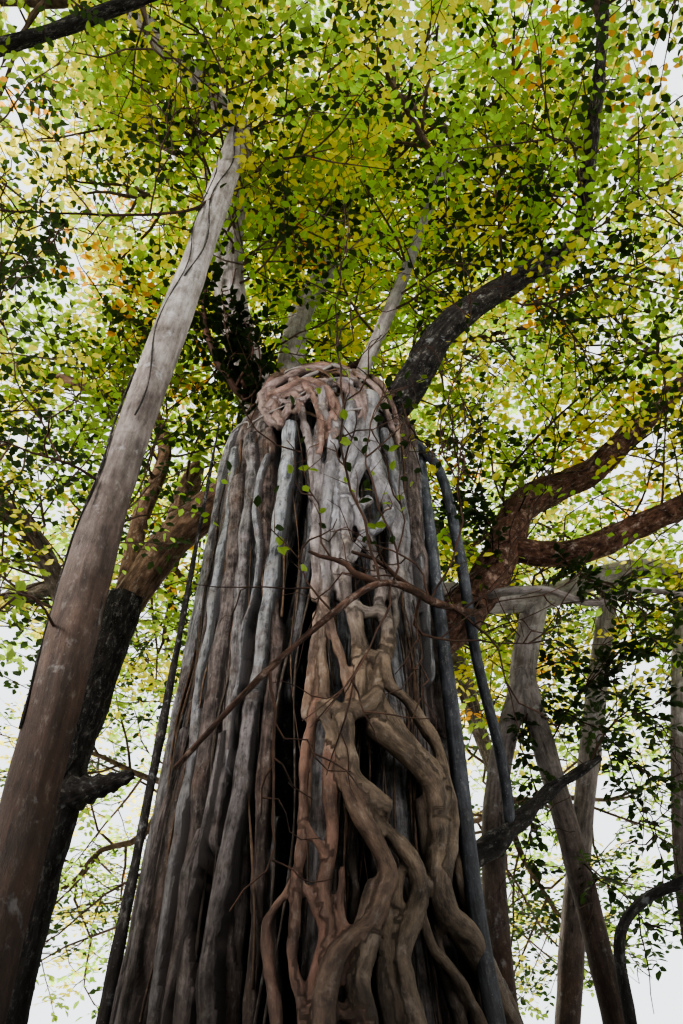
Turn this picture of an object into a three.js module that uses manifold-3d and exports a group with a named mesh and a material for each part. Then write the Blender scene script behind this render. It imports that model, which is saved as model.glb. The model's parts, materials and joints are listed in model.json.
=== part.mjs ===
// A banyan tree: a fluted trunk of roots grown together, a lattice of younger roots over its front,
// pillar roots under the long boughs, and a broad crown of many masses of foliage.
// Millimetres, +Z up. The ground is level, and the origin is the middle of the flat cut under the trunk.
// The lattice faces -Y.
import * as THREE from "three";
import { mergeVertices } from "three/addons/utils/BufferGeometryUtils.js";
import Module from "manifold-3d";

const wasm = await Module();
wasm.setup();

const seatGap = 0.3; // clearance between a piece and what carries it
const groundDepth = 350; // how far a stem is made past the ground before its foot is cut level
const groundSize = 60000;
const goldenAngle = Math.PI * (3 - Math.sqrt(5));
const up = new THREE.Vector3(0, 0, 1);

const trunk = {
  height: 10400,
  footRadius: 1390, // without its flare
  topRadius: 1200,
  flare: 620,
  flareHeight: 1150,
  shoulder: 1300, // the stretch over which the top rounds in
  columns: 17,
  columnDepth: 190,
  lean: 90,
  sides: 56,
  rings: 10,
  crowding: 1.35, // how much closer the rings lie at the foot
};

const stemFlareHeight = 600;

const lattice = {
  strands: 5,
  top: 9500,
  // Its middle and its spread, in degrees round the trunk, from the ground up
  bands: [
    { share: 0, middle: -70, spread: 84 },
    { share: 0.22, middle: -67, spread: 62 },
    { share: 0.5, middle: -65, spread: 44 },
    { share: 0.75, middle: -72, spread: 42 },
    { share: 1, middle: -85, spread: 56 },
  ],
  weaves: 3, // how often a strand swings over to its neighbours on its way up
  swing: 0.42, // of the spacing between strands
  ripple: 40,
  strandRadius: 110,
  standOff: 150, // from the trunk's mean surface to a strand's middle
  sides: 5,
  rings: 10,
};

// The roots that wrap round the lattice's head
const collar = {
  height: 9450,
  middle: -85,
  spread: 60, // in degrees round the trunk
  drop: 280, // from one loop to the next
  wave: 150,
  radius: 125,
  standOff: 60,
  loops: 2,
  sides: 5,
  rings: 7,
};

// The crown is four rings of masses. out and height place the middles, and reach is half the size
// across and up.
const crown = [
  { name: "low", count: 8, out: 9350, height: 8250, reach: [4050, 3350], turn: 22.5 },
  { name: "middle", count: 6, out: 6600, height: 12150, reach: [3600, 2850], turn: 0 },
  { name: "high", count: 4, out: 2850, height: 15300, reach: [3050, 2450], turn: 45 },
  { name: "top", count: 1, out: 0, height: 17350, reach: [2700, 2000], turn: 0 },
];
const massGap = 60; // between one mass's space and the next one's
const unevenness = 0.05; // how far a mass strays from its ring

const stemRadius = [180, 130]; // at its start and its end
const twig = { count: 5, radius: [85, 68], reach: 0.6 };
const spray = {
  places: [0.52, 0.8, 1], // on its twig
  forks: [1.05, 0.8, 1.3], // the angles from its twig that are tried in turn
  longest: 2900,
  shortest: 750,
  width: 0.68, // of its length
  widest: 0.48, // where along it
  thickness: 0.02, // of its length
};

const bark = {
  grey: new THREE.MeshStandardMaterial({ color: 0x6e5f54, roughness: 0.9 }),
  tan: new THREE.MeshStandardMaterial({ color: 0x8f7a62, roughness: 0.8 }),
  pale: new THREE.MeshStandardMaterial({ color: 0xa3968c, roughness: 0.75 }),
  dark: new THREE.MeshStandardMaterial({ color: 0x3f3a38, roughness: 0.95 }),
  red: new THREE.MeshStandardMaterial({ color: 0x6b463a, roughness: 0.95 }),
  slate: new THREE.MeshStandardMaterial({ color: 0x4a505c, roughness: 0.85 }),
};
const leafGreen = new THREE.MeshStandardMaterial({ color: 0x7f9c33, roughness: 0.6 });

const tree = new THREE.Group();

// A number from 0 to 1 that depends only on a seed and a place in the count.
function chance(seed, place) {
  const wave = Math.sin(seed * 12.9898 + place * 78.233) * 43758.5453;
  return wave - Math.floor(wave);
}

function spot(x, y, z) {
  return new THREE.Vector3(x, y, z);
}

function around(angle, out, height) {
  return new THREE.Vector3(out * Math.cos(angle), out * Math.sin(angle), height);
}

// A closed geometry as a solid that can be joined and cut.
function solidOf(geometry) {
  geometry.deleteAttribute("normal");
  geometry.deleteAttribute("uv");
  const merged = mergeVertices(geometry, 1e-3);
  return new wasm.Manifold(
    new wasm.Mesh({
      numProp: 3,
      vertProperties: new Float32Array(merged.attributes.position.array),
      triVerts: new Uint32Array(merged.index.array),
    }),
  );
}

function addNode(name, solid, material) {
  const cut = solid.getMesh();
  const geometry = new THREE.BufferGeometry();
  geometry.setAttribute("position", new THREE.BufferAttribute(cut.vertProperties, 3));
  geometry.setIndex(new THREE.BufferAttribute(cut.triVerts, 1));
  geometry.computeVertexNormals();
  const mesh = new THREE.Mesh(geometry, material);
  mesh.name = name;
  tree.add(mesh);
}

function largestPiece(solid) {
  return solid.decompose().reduce((best, piece) => (piece.volume() > best.volume() ? piece : best));
}

function boxesMeet(a, b) {
  return [0, 1, 2].every((axis) => a.min[axis] <= b.max[axis] && b.min[axis] <= a.max[axis]);
}

const groundBox = new THREE.BoxGeometry(groundSize, groundSize, 2 * groundDepth);
groundBox.translate(0, 0, -groundDepth);
const ground = solidOf(groundBox);

// Limbs: the trunk, roots, pillars and boughs, each with its solid and a slightly wider one that cuts
// its neighbours
const limbs = new Map();

function keepLimb(name, material, shape, curve = null) {
  const wider = shape(seatGap);
  let solid = shape(0).subtract(ground);
  for (const other of limbs.values()) {
    if (boxesMeet(solid.boundingBox(), other.wider.boundingBox())) solid = solid.subtract(other.wider);
  }
  solid = largestPiece(solid);
  limbs.set(name, { solid, wider, curve });
  addNode(name, solid, material);
}

// The trunk's radius towards an angle: fluted by its grown-together roots, flared at the foot, rounded
// at the top.
function trunkRadius(angle, height) {
  const share = height / trunk.height;
  const plain = THREE.MathUtils.lerp(trunk.footRadius, trunk.topRadius, share);
  const wander = 0.13 * Math.sin(3 * angle + 1) + 0.09 * Math.sin(2 * angle + 2.2 * share);
  const flute = Math.abs(Math.cos(0.5 * trunk.columns * (angle + wander)));
  const flare = trunk.flare * Math.exp(-height / trunk.flareHeight) * (0.5 + 0.5 * flute);
  const above = Math.max(0, height - (trunk.height - trunk.shoulder)) / trunk.shoulder;
  return (plain + flare + trunk.columnDepth * (flute - 0.6)) * Math.sqrt(1 - 0.8 * above * above);
}

function trunkShape(grow) {
  const shape = new THREE.CylinderGeometry(1, 1, 1, trunk.sides, trunk.rings);
  const vertex = shape.attributes.position;
  for (let i = 0; i < vertex.count; i += 1) {
    const share = (vertex.getY(i) + 0.5) ** trunk.crowding;
    const height = share * trunk.height;
    const angle = Math.atan2(-vertex.getZ(i), vertex.getX(i));
    const onAxis = Math.hypot(vertex.getX(i), vertex.getZ(i)) < 0.5;
    const out = onAxis ? 0 : trunkRadius(angle, height) + grow;
    const lean = trunk.lean * Math.sin(Math.PI * share);
    vertex.setXYZ(i, out * Math.cos(angle) - lean, out * Math.sin(angle), height + (share > 0.99 ? grow : 0));
  }
  return solidOf(shape);
}

// A closed tapering tube along a curve, made by bending a cylinder and then grown all round.
function bentTube(curve, radiusAt, { sides, rings, grow }) {
  const frames = curve.computeFrenetFrames(rings, false);
  const shape = new THREE.CylinderGeometry(1, 1, 1, sides, rings);
  const vertex = shape.attributes.position;
  for (let i = 0; i < vertex.count; i += 1) {
    const share = vertex.getY(i) + 0.5;
    const ring = Math.round(share * rings);
    const point = curve.getPointAt(share);
    const radius = radiusAt(share) + grow;
    const past = ring === 0 ? -grow : ring === rings ? grow : 0;
    point.addScaledVector(frames.tangents[ring], past);
    point.addScaledVector(frames.normals[ring], vertex.getX(i) * radius);
    point.addScaledVector(frames.binormals[ring], -vertex.getZ(i) * radius);
    vertex.setXYZ(i, point.x, point.y, point.z);
  }
  return solidOf(shape);
}

function limbCurve(points) {
  return new THREE.CatmullRomCurve3(points, false, "centripetal");
}

// thick is the radius at the start and at the end. A stem's flare adds to it near the ground.
function addLimb(name, points, { thick, sides = 7, rings = 6, flare = 0, material = bark.grey }) {
  const curve = limbCurve(points);
  const length = curve.getLength();
  const radiusAt = (share) =>
    THREE.MathUtils.lerp(thick[0], thick[1], share) + flare * Math.exp((-share * length) / stemFlareHeight);
  const shape = (grow) => bentTube(curve, radiusAt, { sides, rings, grow });
  keepLimb(name, material, shape, curve);
}

function limbPoint(name, share) {
  return limbs.get(name).curve.getPointAt(share);
}

// Root lattice: strands that fan out from the collar to the ground and meet their neighbours in turn
function bandAt(share) {
  const above = Math.max(1, lattice.bands.findIndex((band) => band.share >= share));
  const [low, high] = [lattice.bands[above - 1], lattice.bands[above]];
  const part = THREE.MathUtils.smoothstep(share, low.share, high.share);
  const between = (name) => THREE.MathUtils.degToRad(THREE.MathUtils.lerp(low[name], high[name], part));
  return { middle: between("middle"), spread: between("spread") };
}

function strandPoint(index, share) {
  const { middle, spread } = bandAt(share);
  const spacing = spread / lattice.strands;
  const phase = Math.PI * (index % 2) + 1.3 * (chance(index, 1) - 0.5);
  const swing = lattice.swing * spacing * Math.sin(Math.PI * lattice.weaves * share + phase);
  const angle = middle + (index - 0.5 * (lattice.strands - 1)) * spacing + swing;
  const height = share * lattice.top;
  const ripple = lattice.ripple * Math.sin(9 * share + 2.4 * index);
  return around(angle, trunkRadius(angle, height) + lattice.standOff + ripple, height);
}

function latticeShape(grow) {
  const strands = Array.from({ length: lattice.strands }, (_, index) => {
    const shares = Array.from({ length: 13 }, (_, step) => step / 12);
    const points = shares.map((share) => strandPoint(index, share));
    points[0].z = -groundDepth;
    const thick = lattice.strandRadius * (0.8 + 0.45 * chance(index, 2));
    return bentTube(limbCurve(points), (share) => thick * (1.25 - 0.4 * share), { ...lattice, grow });
  });
  const loops = Array.from({ length: collar.loops }, (_, index) => {
    const points = Array.from({ length: 8 }, (_, step) => {
      const angle = THREE.MathUtils.degToRad(collar.middle + collar.spread * (step / 7 - 0.5));
      const height = collar.height - collar.drop * index + collar.wave * Math.sin(1.7 * step + 2 * index);
      return around(angle, trunkRadius(angle, height) + collar.standOff, height);
    });
    return bentTube(limbCurve(points), () => collar.radius, { ...collar, grow });
  });
  return [...strands, ...loops].reduce((joined, piece) => joined.add(piece));
}

keepLimb("trunk", bark.grey, trunkShape);
keepLimb("root_lattice", bark.tan, latticeShape);

// Masses of foliage: where each one is, and the planes that part it from its neighbours
const masses = crown.flatMap((ring, ringPlace) =>
  Array.from({ length: ring.count }, (_, index) => {
    const seed = 10 * ringPlace + index + 1;
    const stray = (place) => 1 + unevenness * (2 * chance(seed, place) - 1);
    const angle = THREE.MathUtils.degToRad(ring.turn + (360 * index) / ring.count);
    const middle = around(angle, ring.out * stray(1), ring.height * stray(2));
    const reach = new THREE.Vector3(ring.reach[0], ring.reach[0], ring.reach[1]).multiplyScalar(stray(3));
    return { name: ring.count > 1 ? `${ring.name}_${index + 1}` : ring.name, seed, angle, middle, reach };
  }),
);

// How far an ellipsoid of that reach goes from its middle towards a direction.
function reachTowards(mass, direction) {
  return 1 / direction.clone().divide(mass.reach).length();
}

for (const mass of masses) {
  mass.walls = masses
    .filter((other) => other !== mass)
    .map((other) => {
      const normal = other.middle.clone().sub(mass.middle);
      const apart = normal.length();
      normal.normalize();
      const mine = reachTowards(mass, normal);
      const share = mine / (mine + reachTowards(other, normal));
      const point = mass.middle.clone().addScaledVector(normal, apart * share - massGap / 2);
      return new THREE.Plane().setFromNormalAndCoplanarPoint(normal, point);
    });
}

function insideMass(mass, point) {
  const offset = point.clone().sub(mass.middle).divide(mass.reach);
  return offset.length() < 1 && mass.walls.every((wall) => wall.distanceToPoint(point) < 0);
}

// How far one can go from a point in a mass's own space before leaving it.
function roomTowards(mass, from, direction) {
  const place = from.clone().sub(mass.middle).divide(mass.reach);
  const step = direction.clone().divide(mass.reach);
  const a = step.lengthSq();
  const b = place.dot(step);
  const c = place.lengthSq() - 1;
  const toShell = (-b + Math.sqrt(Math.max(0, b * b - a * c))) / a;
  const toWalls = mass.walls
    .filter((wall) => wall.normal.dot(direction) > 1e-6)
    .map((wall) => -wall.distanceToPoint(from) / wall.normal.dot(direction));
  return Math.min(toShell, ...toWalls);
}

// Boughs. Each one ends where it enters its mass, after a straight stretch that points at the mass's middle.
const entryShare = 0.72;
const straightEnd = 700;

function addBough(mass, start, knees, options) {
  const heading = mass.middle.clone().sub(knees.at(-1)).normalize();
  const tip = mass.middle.clone().addScaledVector(heading, -entryShare * reachTowards(mass, heading));
  const beforeTip = tip.clone().addScaledVector(heading, -straightEnd);
  mass.heading = heading;
  mass.tip = tip;
  addLimb(`bough_${mass.name}`, [start, ...knees, beforeTip, tip], { sides: 6, rings: 6, ...options });
}

function massNamed(name) {
  return masses.find((mass) => mass.name === name);
}

// A bough straight from the trunk: where it leaves, and how far it arches over on its way.
function addTrunkBough(name, { height, arch, bend = 0, thick, material }) {
  const mass = massNamed(name);
  const start = around(mass.angle, 450, height);
  const knee = start.clone().lerp(mass.middle, 0.48);
  knee.z += arch;
  knee.addScaledVector(around(mass.angle + Math.PI / 2, 1, 0), bend);
  addBough(mass, start, [knee], { thick, material });
}

// The right-hand side: a thick rough bough, a second one that forks from it, and a pale one behind them
const roughKnees = [
  spot(1950, 750, 7830),
  spot(2400, 900, 8670),
  spot(2780, 950, 9500),
  spot(3950, 950, 10250),
];
addBough(massNamed("middle_1"), spot(700, 350, 6300), roughKnees, {
  thick: [310, 170],
  rings: 9,
  material: bark.red,
});
addBough(massNamed("low_8"), spot(2380, 890, 8640), [spot(3230, 800, 8490), spot(4130, 500, 8720)], {
  thick: [185, 110],
  material: bark.red,
});
const paleKnees = [spot(3190, 2000, 8700), spot(4160, 2300, 9300), spot(5200, 2480, 9600)];
addBough(massNamed("low_1"), spot(600, 700, 7700), paleKnees, {
  thick: [220, 135],
  material: bark.pale,
});
addBough(massNamed("low_7"), limbPoint("bough_low_8", 0.5), [spot(5000, -2900, 9000)], {
  thick: [130, 95],
  material: bark.grey,
});

// The left-hand side: a dark second stem beside the trunk, a limb that links the two, and the boughs
// they bear
const stemHead = spot(-2420, 520, 7500);
const stemKnots = [spot(-2950, 900, -groundDepth), spot(-2780, 820, 2500), spot(-2700, 640, 5200)];
addLimb("second_stem", [...stemKnots, stemHead], {
  thick: [270, 235],
  flare: 180,
  sides: 8,
  material: bark.dark,
});
addLimb("stem_link", [limbPoint("second_stem", 0.975), spot(-1950, 480, 8500), spot(-900, 350, 9600)], {
  thick: [215, 250],
  rings: 4,
  material: bark.dark,
});
const leftKnees = [spot(-2560, 780, 9100), spot(-2500, 900, 10700), spot(-3000, 850, 11700)];
addBough(massNamed("middle_4"), limbPoint("second_stem", 0.96), leftKnees, {
  thick: [125, 95],
  material: bark.grey,
});
const risingKnees = [spot(-2120, 950, 9700), spot(-2100, 1500, 10900)];
addBough(massNamed("middle_3"), limbPoint("stem_link", 0.4), risingKnees, {
  thick: [115, 95],
  material: bark.grey,
});
addBough(massNamed("low_4"), limbPoint("second_stem", 0.93), [spot(-3600, 1300, 8300)], {
  thick: [130, 100],
  material: bark.grey,
});
addBough(massNamed("low_5"), limbPoint("second_stem", 0.86), [spot(-3600, -700, 7900)], {
  thick: [125, 85],
  material: bark.grey,
});
addBough(massNamed("low_6"), limbPoint("bough_low_5", 0.45), [spot(-4900, -4600, 8600)], {
  thick: [100, 80],
  material: bark.grey,
});

// The two limbs that rise over the front: a dark one to the right, and one that the left pillar holds
const darkKnees = [
  spot(1050, -850, 9850),
  spot(1500, -1450, 10300),
  spot(2580, -1690, 11200),
  spot(3450, -1950, 11800),
];
addBough(massNamed("middle_6"), spot(250, -150, 9300), darkKnees, {
  thick: [240, 90],
  rings: 8,
  material: bark.dark,
});
const pillarHead = spot(-1100, -3200, 12250);
addBough(massNamed("middle_5"), spot(-600, -150, 9600), [spot(-1300, -1350, 11500), pillarHead], {
  thick: [170, 135],
  material: bark.pale,
});

addTrunkBough("middle_2", { height: 9300, arch: 500, bend: 260, thick: [250, 150], material: bark.grey });
for (const [name, height] of [
  ["low_2", 8000],
  ["low_3", 8300],
]) {
  addTrunkBough(name, { height, arch: 900, bend: -350, thick: [260, 140], material: bark.grey });
}

// Leaders: the limbs that carry the trunk on up into the crown
const leaders = {
  high_1: { start: spot(380, 330, 9700), thick: [225, 130] },
  high_2: { start: spot(-380, 420, 9700), thick: [225, 130] },
  high_3: { start: spot(-780, 150, 9600), thick: [150, 95] },
  high_4: { start: spot(180, -430, 9700), thick: [110, 70] },
};
for (const [name, { start, thick }] of Object.entries(leaders)) {
  const mass = massNamed(name);
  const knee = start.clone().lerp(mass.middle, 0.45);
  knee.x += 220 * (2 * chance(mass.seed, 7) - 1);
  knee.y += 220 * (2 * chance(mass.seed, 8) - 1);
  addBough(mass, start, [knee], { thick, material: bark.pale });
}
addBough(massNamed("top"), spot(-540, -200, 9700), [spot(-480, -220, 12400), spot(-60, -100, 14300)], {
  thick: [225, 140],
  material: bark.pale,
});

// Pillar roots: they hang down from a bough and have rooted in the ground
function addPillar(name, foot, head, { sway = 0, ...options }) {
  const middle = foot.clone().lerp(head, 0.5);
  middle.x += sway;
  const rise = foot.clone().lerp(head, 0.12);
  rise.x = foot.x;
  rise.y = foot.y;
  const start = foot.clone().setZ(-groundDepth);
  addLimb(name, [start, rise, middle, head], options);
}

// The left pillar bends a little below its middle
const pillarKnots = [spot(-1400, -3230, 3600), spot(-1430, -3230, 5300), spot(-1210, -3230, 9300)];
addLimb("left_pillar", [spot(-1390, -3230, -groundDepth), ...pillarKnots, pillarHead], {
  thick: [148, 140],
  flare: 90,
  sides: 10,
  rings: 9,
  material: bark.pale,
});
addPillar("right_edge_pillar", spot(3950, 2750, 0), limbPoint("bough_low_1", 0.84), {
  sway: -500,
  thick: [110, 85],
  flare: 60,
  material: bark.pale,
});
const leaningKnots = [spot(2480, 4600, 1200), spot(3200, 4430, 4500), spot(3900, 3600, 7350)];
addLimb("leaning_pillar", [spot(2400, 4600, -groundDepth), ...leaningKnots, limbPoint("bough_low_1", 0.66)], {
  thick: [175, 145],
  flare: 130,
  sides: 8,
  material: bark.pale,
});
addPillar("back_pillar", spot(900, 5300, 0), limbPoint("bough_middle_2", 0.7), {
  sway: 120,
  thick: [190, 130],
  flare: 120,
  material: bark.grey,
});
addPillar("back_left_pillar", spot(-2300, 5200, 0), limbPoint("bough_low_3", 0.62), {
  sway: -110,
  thick: [170, 120],
  flare: 110,
  material: bark.grey,
});
addPillar("far_left_pillar", spot(-5600, -1750, 0), limbPoint("bough_low_5", 0.72), {
  sway: 90,
  thick: [135, 85],
  flare: 100,
  material: bark.grey,
});
addPillar("front_right_pillar", spot(5200, -2300, 0), limbPoint("bough_low_7", 0.45), {
  sway: -90,
  thick: [150, 100],
  flare: 100,
  material: bark.grey,
});

// The right prop stands on two legs that part under its fork
const prop = { legRadius: 125, widening: 25, flare: 70, upperRadius: 180, footing: spot(-20, 0, -250) };
const propHead = limbPoint("bough_low_1", 0.42);
const propFork = spot(2670, 2150, 7500);
function rightPropShape(grow) {
  const feet = [spot(3050, 2150, -groundDepth), spot(1900, 2300, -groundDepth)];
  const knees = [spot(2920, 2150, 4500), spot(2020, 2250, 5500)];
  const legs = feet.map((foot, index) => {
    const radiusAt = (share) => prop.legRadius + prop.widening * share + prop.flare * Math.exp(-9 * share);
    return bentTube(limbCurve([foot, knees[index], propFork]), radiusAt, { sides: 6, rings: 5, grow });
  });
  const upperCurve = limbCurve([propFork.clone().add(prop.footing), propFork, propHead]);
  const upper = bentTube(upperCurve, () => prop.upperRadius, { sides: 7, rings: 3, grow });
  return upper.add(legs[0]).add(legs[1]);
}
keepLimb("right_prop", bark.pale, rightPropShape);

// Thin roots and slim branches near the trunk
addLimb("thin_root", [spot(-1560, -930, -groundDepth), spot(-1400, -900, 3500), spot(-1330, -760, 9300)], {
  thick: [52, 44],
  sides: 6,
  rings: 5,
  material: bark.dark,
});
const slateKnots = [
  spot(1460, -1270, 1000),
  spot(1220, -1010, 2900),
  spot(1190, -790, 5400),
  spot(1190, -600, 7600),
];
addLimb("slate_root", [spot(1740, -1520, -groundDepth), ...slateKnots, spot(1190, -410, 9300)], {
  thick: [75, 65],
  sides: 6,
  rings: 7,
  material: bark.slate,
});
const brokenEnd = [spot(2420, 800, 5260), spot(2980, 800, 5600)];
addLimb("broken_limb", [spot(850, 300, 4050), spot(1720, 600, 4640), ...brokenEnd], {
  thick: [135, 75],
  rings: 4,
  material: bark.dark,
});
const hangingKnots = [
  spot(1376, -550, 8690),
  spot(1544, -300, 7670),
  spot(1660, 100, 6410),
  spot(1850, 480, 5350),
];
addLimb("hanging_root", [spot(1040, -500, 9350), ...hangingKnots, limbPoint("broken_limb", 0.48)], {
  thick: [66, 58],
  sides: 6,
  rings: 7,
  material: bark.slate,
});
addLimb(
  "curved_root",
  [
    spot(2600, 500, -groundDepth),
    spot(2600, 500, 3100),
    spot(2680, 490, 3780),
    spot(2960, 450, 4050),
    spot(3600, 200, 4250),
    spot(5200, -200, 5300),
    limbPoint("bough_low_8", 0.8),
  ],
  { thick: [58, 40], sides: 6, rings: 12, material: bark.dark },
);
addLimb("burl", [spot(-2600, 560, 5050), spot(-2250, 480, 5130), spot(-1900, 430, 5230)], {
  thick: [190, 110],
  rings: 3,
  material: bark.dark,
});
addLimb(
  "front_branch",
  [
    limbPoint("bough_middle_1", 0.28),
    spot(1750, -100, 6850),
    spot(1080, -1400, 5990),
    spot(480, -2300, 5500),
    spot(-30, -2350, 5010),
    spot(-440, -2350, 4540),
    spot(-930, -2100, 4070),
  ],
  { thick: [52, 18], sides: 5, rings: 12, material: bark.red },
);
const cornerKnots = [spot(-3480, -4750, 9100), spot(-2210, -5080, 9600), spot(-790, -5440, 10000)];
addLimb("low_left_branch", [limbPoint("bough_low_6", 0.55), ...cornerKnots], {
  thick: [110, 50],
  sides: 5,
  rings: 7,
  material: bark.dark,
});
const slimKnots = [
  spot(2160, 400, 7530),
  spot(2640, 300, 7480),
  spot(3120, 250, 7250),
  spot(3690, 200, 7400),
];
addLimb("slim_limb", [limbPoint("bough_middle_1", 0.27), ...slimKnots, spot(4200, 100, 7250)], {
  thick: [62, 28],
  sides: 5,
  rings: 8,
  material: bark.pale,
});

// Foliage: twigs spread from a mass's stem, and each bears sprays of leaves, of which a broad blade
// shows the outline
function sideAxes(heading) {
  const other = Math.abs(heading.z) > 0.9 ? spot(1, 0, 0) : up;
  const flat = new THREE.Vector3().crossVectors(heading, other).normalize();
  return [flat, new THREE.Vector3().crossVectors(flat, heading)];
}

// The direction that turns from a heading by a fork angle, towards a side given by an angle round
// the heading.
function forked(heading, fork, side) {
  const [flat, across] = sideAxes(heading);
  return heading
    .clone()
    .multiplyScalar(Math.cos(fork))
    .addScaledVector(flat, Math.sin(fork) * Math.cos(side))
    .addScaledVector(across, Math.sin(fork) * Math.sin(side))
    .normalize();
}

// A three-sided twig. Its faces look to the sides 30, 150 and 270 degrees round its heading.
function straightTwig(from, to, startRadius, tipRadius) {
  const length = from.distanceTo(to);
  const heading = to.clone().sub(from).normalize();
  const [flat, across] = sideAxes(heading);
  const shape = new THREE.CylinderGeometry(tipRadius, startRadius, length, 3, 1);
  shape.translate(0, length / 2, 0);
  shape.applyMatrix4(new THREE.Matrix4().makeBasis(flat, heading, across).setPosition(from));
  return solidOf(shape);
}

// A mass's twigs: each starts on the stem and ends part of the way to the shell.
function twigsOf(mass) {
  const stemLength = mass.middle.distanceTo(mass.tip) * 1.2;
  const stem = { from: mass.tip, to: mass.tip.clone().addScaledVector(mass.heading, stemLength) };
  const twigs = Array.from({ length: twig.count }, (_, index) => {
    const forward = THREE.MathUtils.lerp(-0.45, 0.95, (index + 0.5) / twig.count);
    const side = index * goldenAngle + 6.28 * chance(mass.seed, 20);
    const heading = forked(mass.heading, Math.acos(forward), side);
    const along = stemLength * (0.35 + (0.6 * index) / twig.count);
    const from = mass.tip.clone().addScaledVector(mass.heading, along);
    const reach = roomTowards(mass, mass.middle, heading);
    const to = mass.middle.clone().addScaledVector(heading, twig.reach * reach);
    return { from, to, seed: mass.seed + 0.1 * (index + 1) };
  });
  return { stem, twigs };
}

// A spray's base, direction and length, within the mass's own space. It leaves by one face of its twig,
// or by its end.
function sprayOf(mass, { from, to, seed }, index, face, fork) {
  const heading = to.clone().sub(from).normalize();
  const atEnd = spray.places[index] === 1;
  const base = from.clone().lerp(to, spray.places[index]);
  if (atEnd) base.addScaledVector(heading, -0.5 * twig.radius[1]);
  const direction = atEnd ? heading : forked(heading, fork, (Math.PI * (1 + 4 * face)) / 6);
  const length = Math.min(spray.longest, 0.97 * roomTowards(mass, base, direction));
  return { base, direction, length, seed: seed + 0.01 * (index + 1) };
}

// A leaf-shaped blade of eight faces, turned so that its face looks out of the mass and up.
function bladeShape(mass, { base, direction, length, seed }) {
  const outward = base.clone().sub(mass.middle).divide(mass.reach).normalize().addScaledVector(up, 0.5);
  const side = new THREE.Vector3().crossVectors(direction, outward).normalize();
  side.applyAxisAngle(direction, 0.9 * (chance(seed, 3) - 0.5));
  const normal = new THREE.Vector3().crossVectors(side, direction);
  const shape = new THREE.OctahedronGeometry(1, 0);
  const point = shape.attributes.position;
  for (let i = 0; i < point.count; i += 1) {
    const along = point.getY(i) > 0.5 ? length : point.getY(i) < -0.5 ? 0 : spray.widest * length;
    const corner = base.clone().addScaledVector(direction, along);
    corner.addScaledVector(side, 0.5 * spray.width * length * point.getX(i));
    corner.addScaledVector(normal, 0.5 * spray.thickness * length * point.getZ(i));
    point.setXYZ(i, corner.x, corner.y, corner.z);
  }
  return shape;
}

function cornersInside(mass, shape) {
  const point = shape.attributes.position;
  const corners = Array.from({ length: point.count }, (_, i) => spot(0, 0, 0).fromBufferAttribute(point, i));
  return corners.every((corner) => insideMass(mass, corner));
}

function touchesAny(solid, others) {
  const box = solid.boundingBox();
  return others.some((other) => boxesMeet(box, other.boundingBox()) && !solid.intersect(other).isEmpty());
}

// The first blade that stays in the mass's space and touches nothing but its own twig, of those its
// twig could bear.
function freeBlade(mass, branch, index, others) {
  const first = Math.floor(3 * chance(branch.seed, 9)) + index;
  for (const fork of spray.forks) {
    for (const face of [first, first + 1, first + 2]) {
      const place = sprayOf(mass, branch, index, face, fork);
      if (place.length < spray.shortest || !insideMass(mass, place.base)) continue;
      const shape = bladeShape(mass, place);
      if (!cornersInside(mass, shape)) continue;
      const blade = solidOf(shape);
      if (!touchesAny(blade, others)) return blade;
    }
  }
  return null;
}

const limbSpaces = [...limbs.values()].map(({ wider }) => wider);

function foliageOf(mass) {
  const { stem, twigs } = twigsOf(mass);
  const stemStart = stem.from.clone().addScaledVector(mass.heading, seatGap);
  const stemWood = straightTwig(stemStart, stem.to, ...stemRadius);
  const branches = twigs
    .map((branch) => ({ ...branch, wood: straightTwig(branch.from, branch.to, ...twig.radius) }))
    .filter(({ wood }) => !touchesAny(wood, limbSpaces));
  const blades = [];
  for (const branch of branches) {
    const otherWood = branches.filter((other) => other !== branch).map(({ wood }) => wood);
    for (const index of spray.places.keys()) {
      const blade = freeBlade(mass, branch, index, [...limbSpaces, stemWood, ...otherWood, ...blades]);
      if (blade) blades.push(blade);
    }
  }
  const pieces = [...branches.map(({ wood }) => wood), ...blades];
  return largestPiece(pieces.reduce((joined, piece) => joined.add(piece), stemWood));
}

for (const mass of masses) {
  addNode(`foliage_${mass.name}`, foliageOf(mass), leafGreen);
}

export default tree;
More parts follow.
